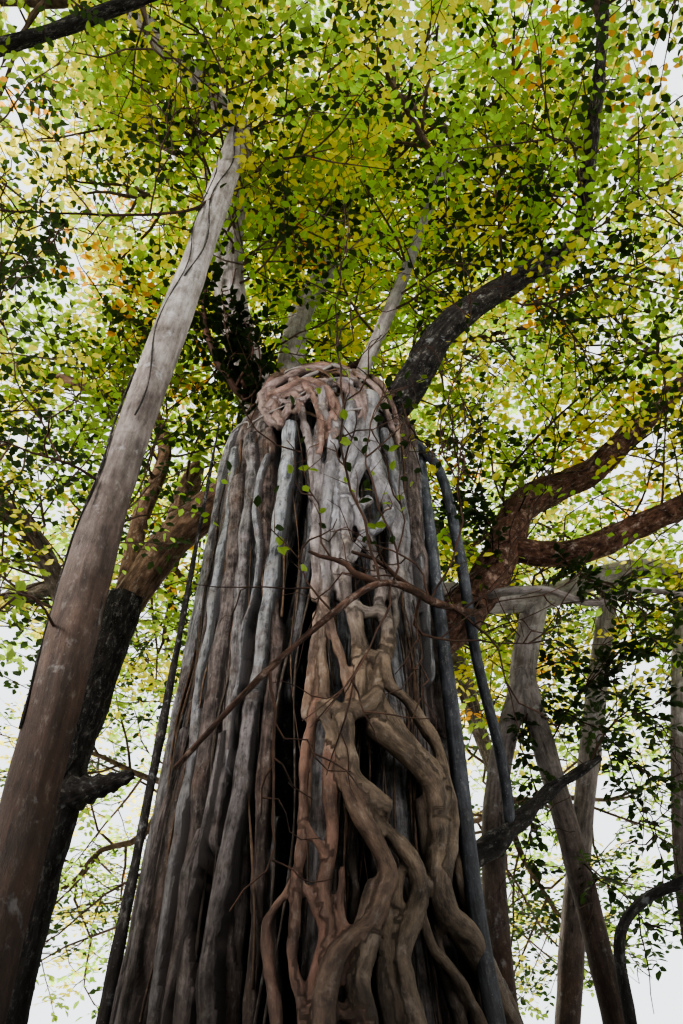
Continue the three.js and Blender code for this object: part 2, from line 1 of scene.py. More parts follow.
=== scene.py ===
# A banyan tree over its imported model: bark with relief on every root and limb, and a crown of twigs and
# leaves that grows on from the limbs by the model's own rule. Metres, +Z up, the root lattice faces -Y.
import json
import math
import bpy
import numpy as np
from mathutils.kdtree import KDTree
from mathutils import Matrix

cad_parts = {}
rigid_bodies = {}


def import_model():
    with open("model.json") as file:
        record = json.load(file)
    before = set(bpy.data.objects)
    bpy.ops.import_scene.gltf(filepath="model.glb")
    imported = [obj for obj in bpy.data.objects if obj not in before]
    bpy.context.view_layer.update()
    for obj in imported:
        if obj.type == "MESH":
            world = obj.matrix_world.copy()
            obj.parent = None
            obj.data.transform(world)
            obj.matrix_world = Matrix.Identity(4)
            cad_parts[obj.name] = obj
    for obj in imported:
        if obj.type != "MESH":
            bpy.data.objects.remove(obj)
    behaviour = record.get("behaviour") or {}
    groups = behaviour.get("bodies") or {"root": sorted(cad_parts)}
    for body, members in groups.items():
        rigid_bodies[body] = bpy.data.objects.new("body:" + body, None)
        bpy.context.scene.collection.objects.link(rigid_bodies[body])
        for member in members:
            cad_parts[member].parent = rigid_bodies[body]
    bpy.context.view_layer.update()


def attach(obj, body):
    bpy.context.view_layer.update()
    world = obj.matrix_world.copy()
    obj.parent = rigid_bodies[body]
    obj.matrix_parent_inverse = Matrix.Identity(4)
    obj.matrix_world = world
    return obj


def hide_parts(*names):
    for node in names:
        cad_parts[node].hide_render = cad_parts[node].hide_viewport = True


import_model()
print("model loaded")

up = np.array((0.0, 0.0, 1.0))
goldenAngle = math.pi * (3 - math.sqrt(5))

# The view: eye height, in front of the lattice, tilted steeply up. Its focal length, its middle and its
# height are in pixels of a 683 x 1024 picture.
view = {
    "place": np.array((0.2, -7.2, 1.6)), "tilt": 43.7,
    "focal": 796.0, "middle": (341.5, 512.0), "tall": 1024.0, "sensor": 36.0,
}


# Small maths


def chance(seed, place):
    wave = math.sin(seed * 12.9898 + place * 78.233) * 43758.5453
    return wave - math.floor(wave)


def anyTurn(seed, place):
    return 6.28 * chance(seed, place)


def mm(x, y, z):
    return np.array((x, y, z), float) / 1000


def around(angle, out, height):
    return np.array((out * math.cos(angle), out * math.sin(angle), height))


def unit(vector):
    return vector / math.sqrt(float(vector @ vector))


def cross(a, b):
    return np.array((a[1] * b[2] - a[2] * b[1], a[2] * b[0] - a[0] * b[2], a[0] * b[1] - a[1] * b[0]))


def blend(a, b, share):
    return a + (b - a) * share


# A centripetal curve through the knots, as the model's limbs follow
curveSteps = 200


def curveThrough(knots):
    knots = [np.asarray(knot, float) for knot in knots]
    ends = [2 * knots[0] - knots[1], *knots, 2 * knots[-1] - knots[-2]]
    points = []
    for step in range(curveSteps + 1):
        place = (len(knots) - 1) * step / curveSteps
        first = min(int(place), len(knots) - 2)
        part = place - first
        p0, p1, p2, p3 = ends[first : first + 4]
        d0, d1, d2 = (float((b - a) @ (b - a)) ** 0.25 for a, b in ((p0, p1), (p1, p2), (p2, p3)))
        t1 = ((p1 - p0) / d0 - (p2 - p0) / (d0 + d1) + (p2 - p1) / d1) * d1
        t2 = ((p2 - p1) / d1 - (p3 - p1) / (d1 + d2) + (p3 - p2) / d2) * d1
        bend = 3 * (p2 - p1) - 2 * t1 - t2
        twist = 2 * (p1 - p2) + t1 + t2
        points.append(p1 + t1 * part + bend * part**2 + twist * part**3)
    points = np.array(points)
    along = distanceAlong(points)
    return {"points": points, "along": along, "length": along[-1]}


def distanceAlong(points):
    return np.concatenate([[0], np.cumsum(np.linalg.norm(np.diff(points, axis=0), axis=1))])


def pointsAt(curve, shares):
    places = np.asarray(shares, float) * curve["length"]
    axes = [np.interp(places, curve["along"], curve["points"][:, axis]) for axis in range(3)]
    return np.stack(axes, axis=-1)


def sideAxes(heading):
    flat = unit(cross(heading, np.array((1.0, 0, 0)) if abs(heading[2]) > 0.9 else up))
    return flat, cross(flat, heading)


# The direction that turns from a heading by a fork angle, towards a side: an angle round the heading
def forked(heading, fork, side):
    flat, across = sideAxes(heading)
    out = math.sin(fork)
    return unit(heading * math.cos(fork) + flat * out * math.cos(side) + across * out * math.sin(side))


# Meshes


# Each attribute has a value, or a vector, for every vertex.
def setAttributes(mesh, attributes):
    for name, values in attributes.items():
        values = np.asarray(values, np.float32)
        isVector = values.ndim == 2
        attribute = mesh.attributes.new(name, "FLOAT_VECTOR" if isVector else "FLOAT", "POINT")
        attribute.data.foreach_set("vector" if isVector else "value", values.ravel())


def meshObject(name, verts, faces, edges=(), **attributes):
    mesh = bpy.data.meshes.new(name)
    mesh.from_pydata(np.asarray(verts).tolist(), list(edges), list(faces))
    mesh.update()
    setAttributes(mesh, attributes)
    obj = bpy.data.objects.new(name, mesh)
    bpy.context.scene.collection.objects.link(obj)
    return obj


def vertsOf(mesh):
    flat = np.empty(len(mesh.vertices) * 3, np.float32)
    mesh.vertices.foreach_get("co", flat)
    return flat.reshape(-1, 3).astype(float)


# Puts the vertices in place, with none below the ground.
def putVerts(mesh, verts):
    verts[:, 2] = np.maximum(verts[:, 2], 0)
    mesh.vertices.foreach_set("co", np.asarray(verts, np.float32).ravel())
    mesh.update()


# The object as a plain mesh with its modifiers applied.
def settled(obj, name):
    evaluated = obj.evaluated_get(bpy.context.evaluated_depsgraph_get())
    mesh = bpy.data.meshes.new_from_object(evaluated)
    mesh.name = name
    old = obj.data
    obj.modifiers.clear()
    obj.data = mesh
    obj.name = name
    if old.users == 0:
        bpy.data.meshes.remove(old)
    return obj


def frameRings(points):
    tangents = np.gradient(points, axis=0)
    tangents /= np.linalg.norm(tangents, axis=1)[:, None]
    normals = np.empty_like(points)
    normal = sideAxes(tangents[0])[0]
    for index, tangent in enumerate(tangents):
        normal = unit(normal - tangent * float(normal @ tangent))
        normals[index] = normal
    return tangents, normals, np.cross(tangents, normals)


def ringQuads(rows, sides):
    first = (np.arange(rows - 1)[:, None] * sides + np.arange(sides)).ravel()
    second = (np.arange(rows - 1)[:, None] * sides + (np.arange(sides) + 1) % sides).ravel()
    return np.stack([first, second, second + sides, first + sides], axis=1).tolist()


# Fans that close the first and the last ring, round two middle points that follow the rings
def ringCaps(rows, sides):
    top, last = rows * sides, (rows - 1) * sides
    caps = [[top, (side + 1) % sides, side] for side in range(sides)]
    return caps + [[top + 1, last + side, last + (side + 1) % sides] for side in range(sides)]


# Directions round each point of a line, between its two side axes
def spokesRound(flats, acrosses, turns):
    return flats[:, None] * np.cos(turns)[None, :, None] + acrosses[:, None] * np.sin(turns)[None, :, None]


# How far a tube's rounded ends reach past its last rings, in radii
capReach = 0.4


# A closed tube round a line of points: its vertices, its faces and the place of each vertex along the grain
def tube(points, radii, sides):
    points = np.asarray(points, float)
    radii = np.broadcast_to(np.asarray(radii, float), (len(points),))
    tangents, normals, binormals = frameRings(points)
    turn = 2 * math.pi * np.arange(sides) / sides
    rings = points[:, None] + spokesRound(normals, binormals, turn) * radii[:, None, None]
    along = distanceAlong(points)
    mean = float(radii.mean())
    grain = np.empty_like(rings)
    grain[..., 0] = mean * np.cos(turn)
    grain[..., 1] = mean * np.sin(turn)
    grain[..., 2] = along[:, None]
    first = points[0] - tangents[0] * radii[0] * capReach
    last = points[-1] + tangents[-1] * radii[-1] * capReach
    verts = np.concatenate([rings.reshape(-1, 3), np.stack([first, last])])
    grainTips = np.array([(0, 0, along[0]), (0, 0, along[-1])])
    faces = ringQuads(len(points), sides) + ringCaps(len(points), sides)
    return verts, faces, np.concatenate([grain.reshape(-1, 3), grainTips])


def joined(tubes):
    verts, faces, start = [], [], 0
    for tubeVerts, tubeFaces, _ in tubes:
        verts.append(tubeVerts)
        faces += [[corner + start for corner in face] for face in tubeFaces]
        start += len(tubeVerts)
    return np.concatenate(verts), faces


# Node helpers


# Adds a node. Its inputs take either a value or another node's output.
def addNode(tree, kind, inputs=None, **settings):
    node = tree.nodes.new(kind)
    for key, value in settings.items():
        setattr(node, key, value)
    for socket, value in (inputs or {}).items():
        if isinstance(value, bpy.types.NodeSocket):
            tree.links.new(value, node.inputs[socket])
        else:
            node.inputs[socket].default_value = value
    return node


def firstOut(tree, kind, inputs=None, **settings):
    return addNode(tree, kind, inputs, **settings).outputs[0]


def maths(tree, operation, a, b=0.0):
    return firstOut(tree, "ShaderNodeMath", {0: a, 1: b}, operation=operation)


def times(tree, a, b):
    return maths(tree, "MULTIPLY", a, b)


def plus(tree, a, b):
    return maths(tree, "ADD", a, b)


# A place stretched along each axis
def stretched(tree, place, x, y, z):
    axes = firstOut(tree, "ShaderNodeCombineXYZ", {0: x, 1: y, 2: z})
    return firstOut(tree, "ShaderNodeVectorMath", {0: place, 1: axes}, operation="MULTIPLY")


def noise(tree, place, scale, detail, **more):
    inputs = {"Vector": place, "Scale": scale, "Detail": detail}
    inputs.update({key.capitalize(): value for key, value in more.items()})
    return firstOut(tree, "ShaderNodeTexNoise", inputs)


def ranged(tree, value, low, high, toLow=0.0, toHigh=1.0):
    inputs = {"Value": value, "From Min": low, "From Max": high, "To Min": toLow, "To Max": toHigh}
    return firstOut(tree, "ShaderNodeMapRange", inputs)


def mixColours(tree, factor, a, b):
    colours = [value if isinstance(value, bpy.types.NodeSocket) else (*value, 1.0) for value in (a, b)]
    node = addNode(tree, "ShaderNodeMix", {0: factor, 6: colours[0], 7: colours[1]}, data_type="RGBA")
    return node.outputs[2]


def newGroup(name, kind, inputs, outputs):
    tree = bpy.data.node_groups.new(name, kind)
    for label, socketKind, value in inputs:
        socket = tree.interface.new_socket(name=label, in_out="INPUT", socket_type=socketKind)
        if value is not None:
            socket.default_value = value
    for label, socketKind in outputs:
        tree.interface.new_socket(name=label, in_out="OUTPUT", socket_type=socketKind)
    return tree, tree.nodes.new("NodeGroupInput").outputs, tree.nodes.new("NodeGroupOutput").inputs


# Runs a geometry tree on an object with named inputs, and keeps the result as a plain mesh.
def runTree(obj, tree, values, name):
    modifier = obj.modifiers.new("shape", "NODES")
    modifier.node_group = tree
    for item in tree.interface.items_tree:
        if item.item_type == "SOCKET" and item.in_out == "INPUT" and item.name in values:
            modifier[item.identifier] = values[item.name]
    return settled(obj, name)


# A bark's relief on an object, which is then finished as a piece
def addRelief(obj, values, slot, node):
    name = obj.name
    runTree(obj, reliefTree, values, name)
    putVerts(obj.data, vertsOf(obj.data))
    finishPiece(obj, slot, node)


def named(tree, name, kind="FLOAT_VECTOR"):
    return firstOut(tree, "GeometryNodeInputNamedAttribute", {"Name": name}, data_type=kind)


# A geometry tree from a geometry and the other inputs given
def startShape(name, inputs):
    start = ("Geometry", "NodeSocketGeometry", None)
    return newGroup(name, "GeometryNodeTree", [start, *inputs], [start[:2]])


# The end of every geometry tree: real meshes with their material
def endShape(tree, geometry, material, result):
    real = firstOut(tree, "GeometryNodeRealizeInstances", {"Geometry": geometry})
    dressed = firstOut(tree, "GeometryNodeSetMaterial", {"Geometry": real, "Material": material})
    tree.links.new(dressed, result[0])
    return tree


# Bark relief along the grain: fine fibres and slow knobs
def makeReliefTree():
    inputs = [
        ("Fibre Depth", "NodeSocketFloat", 0.01),
        ("Fibre Scale", "NodeSocketFloat", 14.0),
        ("Stretch", "NodeSocketFloat", 0.12),
        ("Knob Depth", "NodeSocketFloat", 0.03),
        ("Knob Scale", "NodeSocketFloat", 1.6),
        ("Seed", "NodeSocketFloat", 0.0),
        ("Bark", "NodeSocketMaterial", None),
    ]
    tree, given, result = startShape("barkRelief", inputs)
    shift = firstOut(tree, "ShaderNodeCombineXYZ", {2: given["Seed"]})
    moved = firstOut(tree, "ShaderNodeVectorMath", {0: named(tree, "grain"), 1: shift}, operation="ADD")
    streaks = stretched(tree, moved, 1.0, 1.0, given["Stretch"])
    fibres = maths(tree, "SUBTRACT", noise(tree, streaks, given["Fibre Scale"], 4.0), 0.5)
    knobs = maths(tree, "SUBTRACT", noise(tree, moved, given["Knob Scale"], 2.0), 0.5)
    height = plus(tree, times(tree, fibres, given["Fibre Depth"]), times(tree, knobs, given["Knob Depth"]))
    normal = firstOut(tree, "GeometryNodeInputNormal")
    offset = firstOut(tree, "ShaderNodeVectorMath", {0: normal, "Scale": height}, operation="SCALE")
    shaped = firstOut(tree, "GeometryNodeSetPosition", {"Geometry": given["Geometry"], "Offset": offset})
    smooth = firstOut(tree, "GeometryNodeSetShadeSmooth", {"Geometry": shaped})
    return endShape(tree, smooth, given["Bark"], result)


# Twigs: three-sided or rounder wood along every edge line, as thick as its points say
def makeTwigTree():
    inputs = [("Sides", "NodeSocketInt", 3), ("Bark", "NodeSocketMaterial", None)]
    tree, given, result = startShape("twigWood", inputs)
    lines = firstOut(tree, "GeometryNodeMeshToCurve", {"Mesh": given["Geometry"]})
    ring = firstOut(tree, "GeometryNodeCurvePrimitiveCircle", {"Resolution": given["Sides"], "Radius": 1.0})
    thick = named(tree, "thick", "FLOAT")
    inputs = {"Curve": lines, "Profile Curve": ring, "Scale": thick, "Fill Caps": True}
    wood = firstOut(tree, "GeometryNodeCurveToMesh", inputs)
    smooth = firstOut(tree, "GeometryNodeSetShadeSmooth", {"Geometry": wood})
    return endShape(tree, smooth, given["Bark"], result)


# Leaves: one leaf on every point, aimed and turned by the point's own attributes
def makeLeafTree():
    inputs = [("Leaf", "NodeSocketObject", None), ("Green", "NodeSocketMaterial", None)]
    tree, given, result = startShape("leavesOnTwigs", inputs)
    leaf = addNode(tree, "GeometryNodeObjectInfo", {"Object": given["Leaf"]}).outputs["Geometry"]
    axes = {"Primary Axis": named(tree, "aim"), "Secondary Axis": named(tree, "face")}
    turn = firstOut(tree, "FunctionNodeAxesToRotation", axes, primary_axis="X", secondary_axis="Z")
    size = named(tree, "size", "FLOAT")
    inputs = {"Points": given["Geometry"], "Instance": leaf, "Rotation": turn, "Scale": size}
    return endShape(tree, firstOut(tree, "GeometryNodeInstanceOnPoints", inputs), given["Green"], result)


reliefTree = makeReliefTree()
twigTree = makeTwigTree()
leafTree = makeLeafTree()


# Bark and leaf materials


# Fibres along the grain: a value for the colour and a height for the bump
def makeFibreGroup():
    inputs = [
        ("Grain", "NodeSocketVector", None),
        ("Scale", "NodeSocketFloat", 20.0),
        ("Stretch", "NodeSocketFloat", 0.1),
    ]
    outputs = [("Value", "NodeSocketFloat"), ("Height", "NodeSocketFloat")]
    tree, given, result = newGroup("barkFibre", "ShaderNodeTree", inputs, outputs)
    streaks = stretched(tree, given["Grain"], 1.0, 1.0, given["Stretch"])
    fine = noise(tree, streaks, given["Scale"], 6.0, roughness=0.65)
    broad = noise(tree, given["Grain"], times(tree, given["Scale"], 0.22), 3.0)
    value = plus(tree, times(tree, fine, 0.6), times(tree, broad, 0.4))
    tree.links.new(ranged(tree, value, 0.36, 0.64), result["Value"])
    tree.links.new(fine, result["Height"])
    return tree


# Patches with ragged edges, such as lichen: a mask
def makePatchGroup():
    inputs = [
        ("Grain", "NodeSocketVector", None),
        ("Scale", "NodeSocketFloat", 3.0),
        ("Cover", "NodeSocketFloat", 0.3),
    ]
    tree, given, result = newGroup("lichenPatches", "ShaderNodeTree", inputs, [("Mask", "NodeSocketFloat")])
    broad = noise(tree, given["Grain"], given["Scale"], 7.0, roughness=0.68, distortion=0.4)
    limit = ranged(tree, given["Cover"], 0.0, 1.0, 0.72, 0.3)
    tree.links.new(ranged(tree, maths(tree, "SUBTRACT", broad, limit), -0.02, 0.06), result["Mask"])
    return tree


# Small round dots, such as breathing pores on young roots: a mask
def makeDotGroup():
    inputs = [
        ("Grain", "NodeSocketVector", None),
        ("Scale", "NodeSocketFloat", 30.0),
        ("Size", "NodeSocketFloat", 0.2),
    ]
    tree, given, result = newGroup("barkDots", "ShaderNodeTree", inputs, [("Mask", "NodeSocketFloat")])
    cells = firstOut(tree, "ShaderNodeTexVoronoi", {"Vector": given["Grain"], "Scale": given["Scale"]})
    tree.links.new(ranged(tree, maths(tree, "SUBTRACT", given["Size"], cells), -0.04, 0.04), result["Mask"])
    return tree


fibreGroup = makeFibreGroup()
patchGroup = makePatchGroup()
dotGroup = makeDotGroup()


def useGroup(tree, group, inputs):
    node = tree.nodes.new("ShaderNodeGroup")
    node.node_tree = group
    for label, value in inputs.items():
        if isinstance(value, bpy.types.NodeSocket):
            tree.links.new(value, node.inputs[label])
        else:
            node.inputs[label].default_value = value
    return node.outputs


def startMaterial(name, roughness):
    material = bpy.data.materials.new(name)
    material.use_nodes = True
    tree = material.node_tree
    surface = tree.nodes["Principled BSDF"]
    surface.inputs["Roughness"].default_value = roughness
    surface.inputs["Specular IOR Level"].default_value = 0.3
    return material, tree, surface


def readAttribute(tree, name, output):
    return addNode(tree, "ShaderNodeAttribute", attribute_name=name).outputs[output]


# The fibres' colour runs from dark to light.
def fibreColours(tree, fibre, dark, light):
    return mixColours(tree, fibre["Value"], dark, light)


# A tint over a colour in ragged patches
def patched(tree, grain, colour, tint, scale, cover, share):
    mask = useGroup(tree, patchGroup, {"Grain": grain, "Scale": scale, "Cover": cover})["Mask"]
    return mixColours(tree, times(tree, mask, share), colour, tint)


def fibresOf(tree, grain, scale, stretch):
    return useGroup(tree, fibreGroup, {"Grain": grain, "Scale": scale, "Stretch": stretch})


# What can be changed on each bark: its colours, its grain and how much lichen and grit it has
barkLooks = {
    "grey": {
        "slot": "trunk_bark", "roughness": 0.85, "bump": 0.03, "grit": 0.7,
        "dark": (0.035, 0.027, 0.022), "light": (0.19, 0.155, 0.13), "lichen": (0.36, 0.36, 0.36),
        "fibreScale": 26.0, "stretch": 0.07, "cover": 0.3, "patchScale": 2.4,
        "fibreDepth": 0.022, "knobDepth": 0.07, "reliefScale": 11.0,
    },
    "pale": {
        "slot": "pale_bark", "roughness": 0.7, "bump": 0.015, "grit": 0.4,
        "dark": (0.14, 0.12, 0.115), "light": (0.37, 0.35, 0.35), "lichen": (0.48, 0.49, 0.51),
        "fibreScale": 22.0, "stretch": 0.12, "cover": 0.24, "patchScale": 5.0,
        "fibreDepth": 0.008, "knobDepth": 0.035, "reliefScale": 9.0,
    },
    "dark": {
        "slot": "dark_bark", "roughness": 0.9, "bump": 0.04, "grit": 0.8,
        "dark": (0.01, 0.01, 0.011), "light": (0.07, 0.063, 0.06), "lichen": (0.3, 0.32, 0.34),
        "fibreScale": 30.0, "stretch": 0.16, "cover": 0.24, "patchScale": 8.0,
        "fibreDepth": 0.03, "knobDepth": 0.09, "reliefScale": 13.0,
    },
    "brown": {
        "slot": "trunk_bark", "roughness": 0.85, "bump": 0.025, "grit": 0.6,
        "dark": (0.04, 0.025, 0.018), "light": (0.24, 0.155, 0.105), "lichen": (0.4, 0.3, 0.23),
        "fibreScale": 24.0, "stretch": 0.12, "cover": 0.25, "patchScale": 3.0,
        "fibreDepth": 0.016, "knobDepth": 0.05, "reliefScale": 10.0,
    },
    "red": {
        "slot": "red_bark", "roughness": 0.88, "bump": 0.05, "grit": 0.8,
        "dark": (0.03, 0.016, 0.012), "light": (0.2, 0.105, 0.075), "lichen": (0.42, 0.3, 0.25),
        "fibreScale": 24.0, "stretch": 0.4, "cover": 0.3, "patchScale": 6.0,
        "fibreDepth": 0.045, "knobDepth": 0.09, "reliefScale": 12.0,
    },
    "slate": {
        "slot": "slate_bark", "roughness": 0.75, "bump": 0.012, "grit": 0.5,
        "dark": (0.03, 0.034, 0.042), "light": (0.12, 0.13, 0.155), "lichen": (0.3, 0.32, 0.35),
        "fibreScale": 24.0, "stretch": 0.1, "cover": 0.12, "patchScale": 5.0,
        "fibreDepth": 0.008, "knobDepth": 0.02, "reliefScale": 12.0,
    },
}


def objectHeight(tree):
    place = addNode(tree, "ShaderNodeTexCoord").outputs["Object"]
    return addNode(tree, "ShaderNodeSeparateXYZ", {0: place}).outputs[2]


# Fine dark pits and pale specks, for the colour and for the bump
def addGrit(tree, grain, colour, height, share):
    fine = noise(tree, stretched(tree, grain, 1.0, 1.0, 0.45), 21.0, 9.0, roughness=0.78)
    colour = mixColours(tree, ranged(tree, fine, 0.48, 0.36, 0.0, share), colour, (0.012, 0.009, 0.008))
    colour = mixColours(tree, ranged(tree, fine, 0.54, 0.68, 0.0, 0.6 * share), colour, (0.62, 0.59, 0.56))
    return colour, plus(tree, height, fine)


# Painted shade on all bark, darker towards the ground: from where it starts down to where it is darkest.
groundShade = {"start": 8.2, "full": 1.8, "share": 0.88, "colour": (0.008, 0.006, 0.005)}


def finishBark(tree, surface, colour, height, distance, strength=0.9):
    # painted shade: the bark darkens towards the ground
    share = ranged(tree, objectHeight(tree), groundShade["full"], groundShade["start"], groundShade["share"], 0.0)
    colour = mixColours(tree, share, colour, groundShade["colour"])
    bump = addNode(tree, "ShaderNodeBump", {"Strength": strength, "Distance": distance, "Height": height})
    tree.links.new(colour, surface.inputs["Base Color"])
    tree.links.new(bump.outputs[0], surface.inputs["Normal"])


# Pale bark: warm dark brown towards the ground with upright cracks, pale above, with fine rings
def agePaleBark(tree, grain, fibre, colour):
    uneven = noise(tree, grain, 1.3, 3.0)
    height = plus(tree, objectHeight(tree), times(tree, uneven, 3.0))
    lowShare = ranged(tree, height, 5.4, 9.4, 1.0, 0.0)
    warm = fibreColours(tree, fibre, (0.03, 0.016, 0.011), (0.135, 0.075, 0.052))
    colour = mixColours(tree, lowShare, colour, warm)
    along = addNode(tree, "ShaderNodeSeparateXYZ", {0: grain}).outputs[2]
    wave = maths(tree, "SINE", plus(tree, times(tree, along, 23.0), times(tree, uneven, 47.0)))
    colour = mixColours(tree, ranged(tree, wave, 0.93, 1.0, 0.0, 0.22), colour, (0.09, 0.065, 0.055))
    cracks = ranged(tree, fibresOf(tree, grain, 16.0, 0.03)["Value"], 0.12, 0.0)
    return mixColours(tree, times(tree, cracks, plus(tree, lowShare, 0.25)), colour, (0.014, 0.01, 0.009))


def makeLimbBark(name, look):
    material, tree, surface = startMaterial(f"{name}Bark", look["roughness"])
    grain = readAttribute(tree, "grain", "Vector")
    fibre = fibresOf(tree, grain, look["fibreScale"], look["stretch"])
    colour = fibreColours(tree, fibre, look["dark"], look["light"])
    if name == "pale":
        colour = agePaleBark(tree, grain, fibre, colour)
    share = 0.45 if name == "pale" else 0.75
    colour = patched(tree, grain, colour, look["lichen"], look["patchScale"], look["cover"], share)
    if name in ("slate", "dark"):
        dots = useGroup(tree, dotGroup, {"Grain": grain, "Scale": 26.0, "Size": 0.1})["Mask"]
        colour = mixColours(tree, times(tree, dots, 0.6), colour, (0.35, 0.37, 0.4))
    colour, height = addGrit(tree, grain, colour, fibre["Height"], look["grit"])
    finishBark(tree, surface, colour, height, look["bump"])
    return material


# The trunk's bark: pale and brown roots by their own tone, with painted shade, near black, in the grooves
# between them
def makeTrunkBark():
    material, tree, surface = startMaterial("trunkBark", 0.86)
    grain = readAttribute(tree, "grain", "Vector")
    tone = readAttribute(tree, "tone", "Fac")
    fibre = fibresOf(tree, grain, 30.0, 0.06)
    brown = fibreColours(tree, fibre, (0.026, 0.014, 0.01), (0.2, 0.115, 0.08))
    grey = fibreColours(tree, fibre, (0.055, 0.058, 0.066), (0.56, 0.59, 0.65))
    colour = mixColours(tree, tone, brown, grey)
    colour = patched(tree, grain, colour, brown, 1.7, 0.42, 0.55)
    cover = ranged(tree, tone, 0.2, 1.0, 0.12, 0.55)
    colour = patched(tree, grain, colour, barkLooks["grey"]["lichen"], 4.5, cover, 0.6)
    warm = fibreColours(tree, fibre, (0.03, 0.018, 0.013), (0.2, 0.13, 0.095))
    colour = mixColours(tree, ranged(tree, objectHeight(tree), 6.0, 2.5, 0.0, 0.6), colour, warm)
    # painted shade: near black where the skin lies deep in a groove
    groove = readAttribute(tree, "groove", "Fac")
    colour = mixColours(tree, ranged(tree, groove, 0.3, 0.8), colour, (0.006, 0.005, 0.005))
    colour, height = addGrit(tree, grain, colour, fibre["Height"], 0.7)
    finishBark(tree, surface, colour, height, 0.045, 1.0)
    return material


# The lattice's bark: smooth, khaki low down, pale grey above, pink on some roots, with painted shade
# darkening it towards the trunk
def makeLatticeBark():
    material, tree, surface = startMaterial("latticeBark", 0.6)
    grain = readAttribute(tree, "grain", "Vector")
    fibre = fibresOf(tree, grain, 15.0, 0.22)
    low = fibreColours(tree, fibre, (0.04, 0.027, 0.019), (0.38, 0.285, 0.21))
    high = fibreColours(tree, fibre, (0.07, 0.07, 0.078), (0.38, 0.4, 0.45))
    rosy = fibreColours(tree, fibre, (0.08, 0.04, 0.028), (0.36, 0.2, 0.15))
    height = plus(tree, objectHeight(tree), times(tree, noise(tree, grain, 1.1, 2.0), 2.0))
    colour = mixColours(tree, ranged(tree, height, 6.4, 8.0), low, high)
    colour = mixColours(tree, readAttribute(tree, "pink", "Fac"), colour, rosy)
    colour = patched(tree, grain, colour, (0.045, 0.032, 0.026), 2.6, 0.4, 0.5)
    colour = patched(tree, grain, colour, (0.6, 0.5, 0.42), 3.4, 0.3, 0.4)
    # painted shade: darker where the strands lie close to the trunk
    groove = readAttribute(tree, "groove", "Fac")
    colour = mixColours(tree, ranged(tree, groove, 0.25, 0.8), colour, (0.01, 0.008, 0.007))
    colour, height = addGrit(tree, grain, colour, fibre["Height"], 0.5)
    finishBark(tree, surface, colour, height, 0.028, 0.9)
    return material


def makeTwigBark(name, dark, light):
    material, tree, surface = startMaterial(name, 0.8)
    place = addNode(tree, "ShaderNodeTexCoord").outputs["Object"]
    colour = fibreColours(tree, fibresOf(tree, place, 9.0, 1.0), dark, light)
    tree.links.new(colour, surface.inputs["Base Color"])
    return material


# Leaf greens: a thin leaf glows with the light behind it. A tint's share is how many sprays have it.
leafGlow = 0.62
# The sunny green is painted sunlight and the darkest green painted shade: lit and shaded copies of the
# leaf's green.
leafGreens = {
    "sunny": {"face": (0.37, 0.35, 0.07), "glow": (0.94, 0.86, 0.19), "share": 0.28},
    "middle": {"face": (0.12, 0.17, 0.045), "glow": (0.4, 0.54, 0.12), "share": 0.25},
    "deep": {"face": (0.018, 0.034, 0.014), "glow": (0.06, 0.1, 0.03), "share": 0.23},
    "lime": {"face": (0.2, 0.32, 0.07), "glow": (0.54, 0.82, 0.16), "share": 0.2},
    "amber": {"face": (0.38, 0.19, 0.05), "glow": (0.85, 0.45, 0.1), "share": 0.03},
}


def makeLeafGreen(name, green):
    material, tree, surface = startMaterial(f"{name}Leaf", 0.45)
    surface.inputs["Base Color"].default_value = (*green["face"], 1.0)
    glow = addNode(tree, "ShaderNodeBsdfTranslucent", {"Color": (*green["glow"], 1.0)})
    mix = addNode(tree, "ShaderNodeMixShader", {0: leafGlow, 1: surface.outputs[0], 2: glow.outputs[0]})
    output = next(node for node in tree.nodes if node.type == "OUTPUT_MATERIAL")
    tree.links.new(mix.outputs[0], output.inputs["Surface"])
    return material


barks = {name: makeLimbBark(name, look) for name, look in barkLooks.items()}
trunkBark = makeTrunkBark()
latticeBark = makeLatticeBark()
twigBark = makeTwigBark("twigBark", (0.03, 0.02, 0.016), (0.2, 0.14, 0.11))
darkTwigBark = makeTwigBark("darkTwigBark", (0.01, 0.007, 0.006), (0.075, 0.04, 0.028))
leafMaterials = {name: makeLeafGreen(name, green) for name, green in leafGreens.items()}


def finishPiece(obj, slot, *nodes):
    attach(obj, "root")
    if nodes:
        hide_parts(*nodes)


# Trunk

trunk = {
    "height": 10.4, "footRadius": 1.39, "topRadius": 1.2, "flare": 0.62, "flareHeight": 1.15,
    "shoulder": 1.3, "columns": 17, "columnDepth": 0.19, "lean": 0.09,
    "columnRadius": 0.17, "backRadius": 0.1, "coreInset": 0.26, "frontInset": 0.1, "slimRoots": 30,
    "rows": 212, "frontSides": 300, "backSides": 158,
}


def trunkWander(angle, share):
    return 0.13 * np.sin(3 * angle + 1) + 0.09 * np.sin(2 * angle + 2.2 * share)


# The trunk's radius towards an angle. flute is 1 on a column's crest and 0 in a groove.
def trunkRadius(angle, height, flute=None):
    share = height / trunk["height"]
    if flute is None:
        flute = np.abs(np.cos(0.5 * trunk["columns"] * (angle + trunkWander(angle, share))))
    plain = blend(trunk["footRadius"], trunk["topRadius"], share)
    flare = trunk["flare"] * np.exp(-height / trunk["flareHeight"]) * (0.5 + 0.5 * flute)
    above = np.clip((height - trunk["height"] + trunk["shoulder"]) / trunk["shoulder"], 0, 1)
    return (plain + flare + trunk["columnDepth"] * (flute - 0.6)) * np.sqrt(1 - 0.8 * above**2)


def trunkLean(height):
    return trunk["lean"] * np.sin(np.pi * np.clip(height / trunk["height"], 0, 1))


def onSkin(angle, height, out, flute=0.75):
    point = around(angle, trunkRadius(angle, height, flute) + out, height)
    point[0] -= trunkLean(height)
    return point


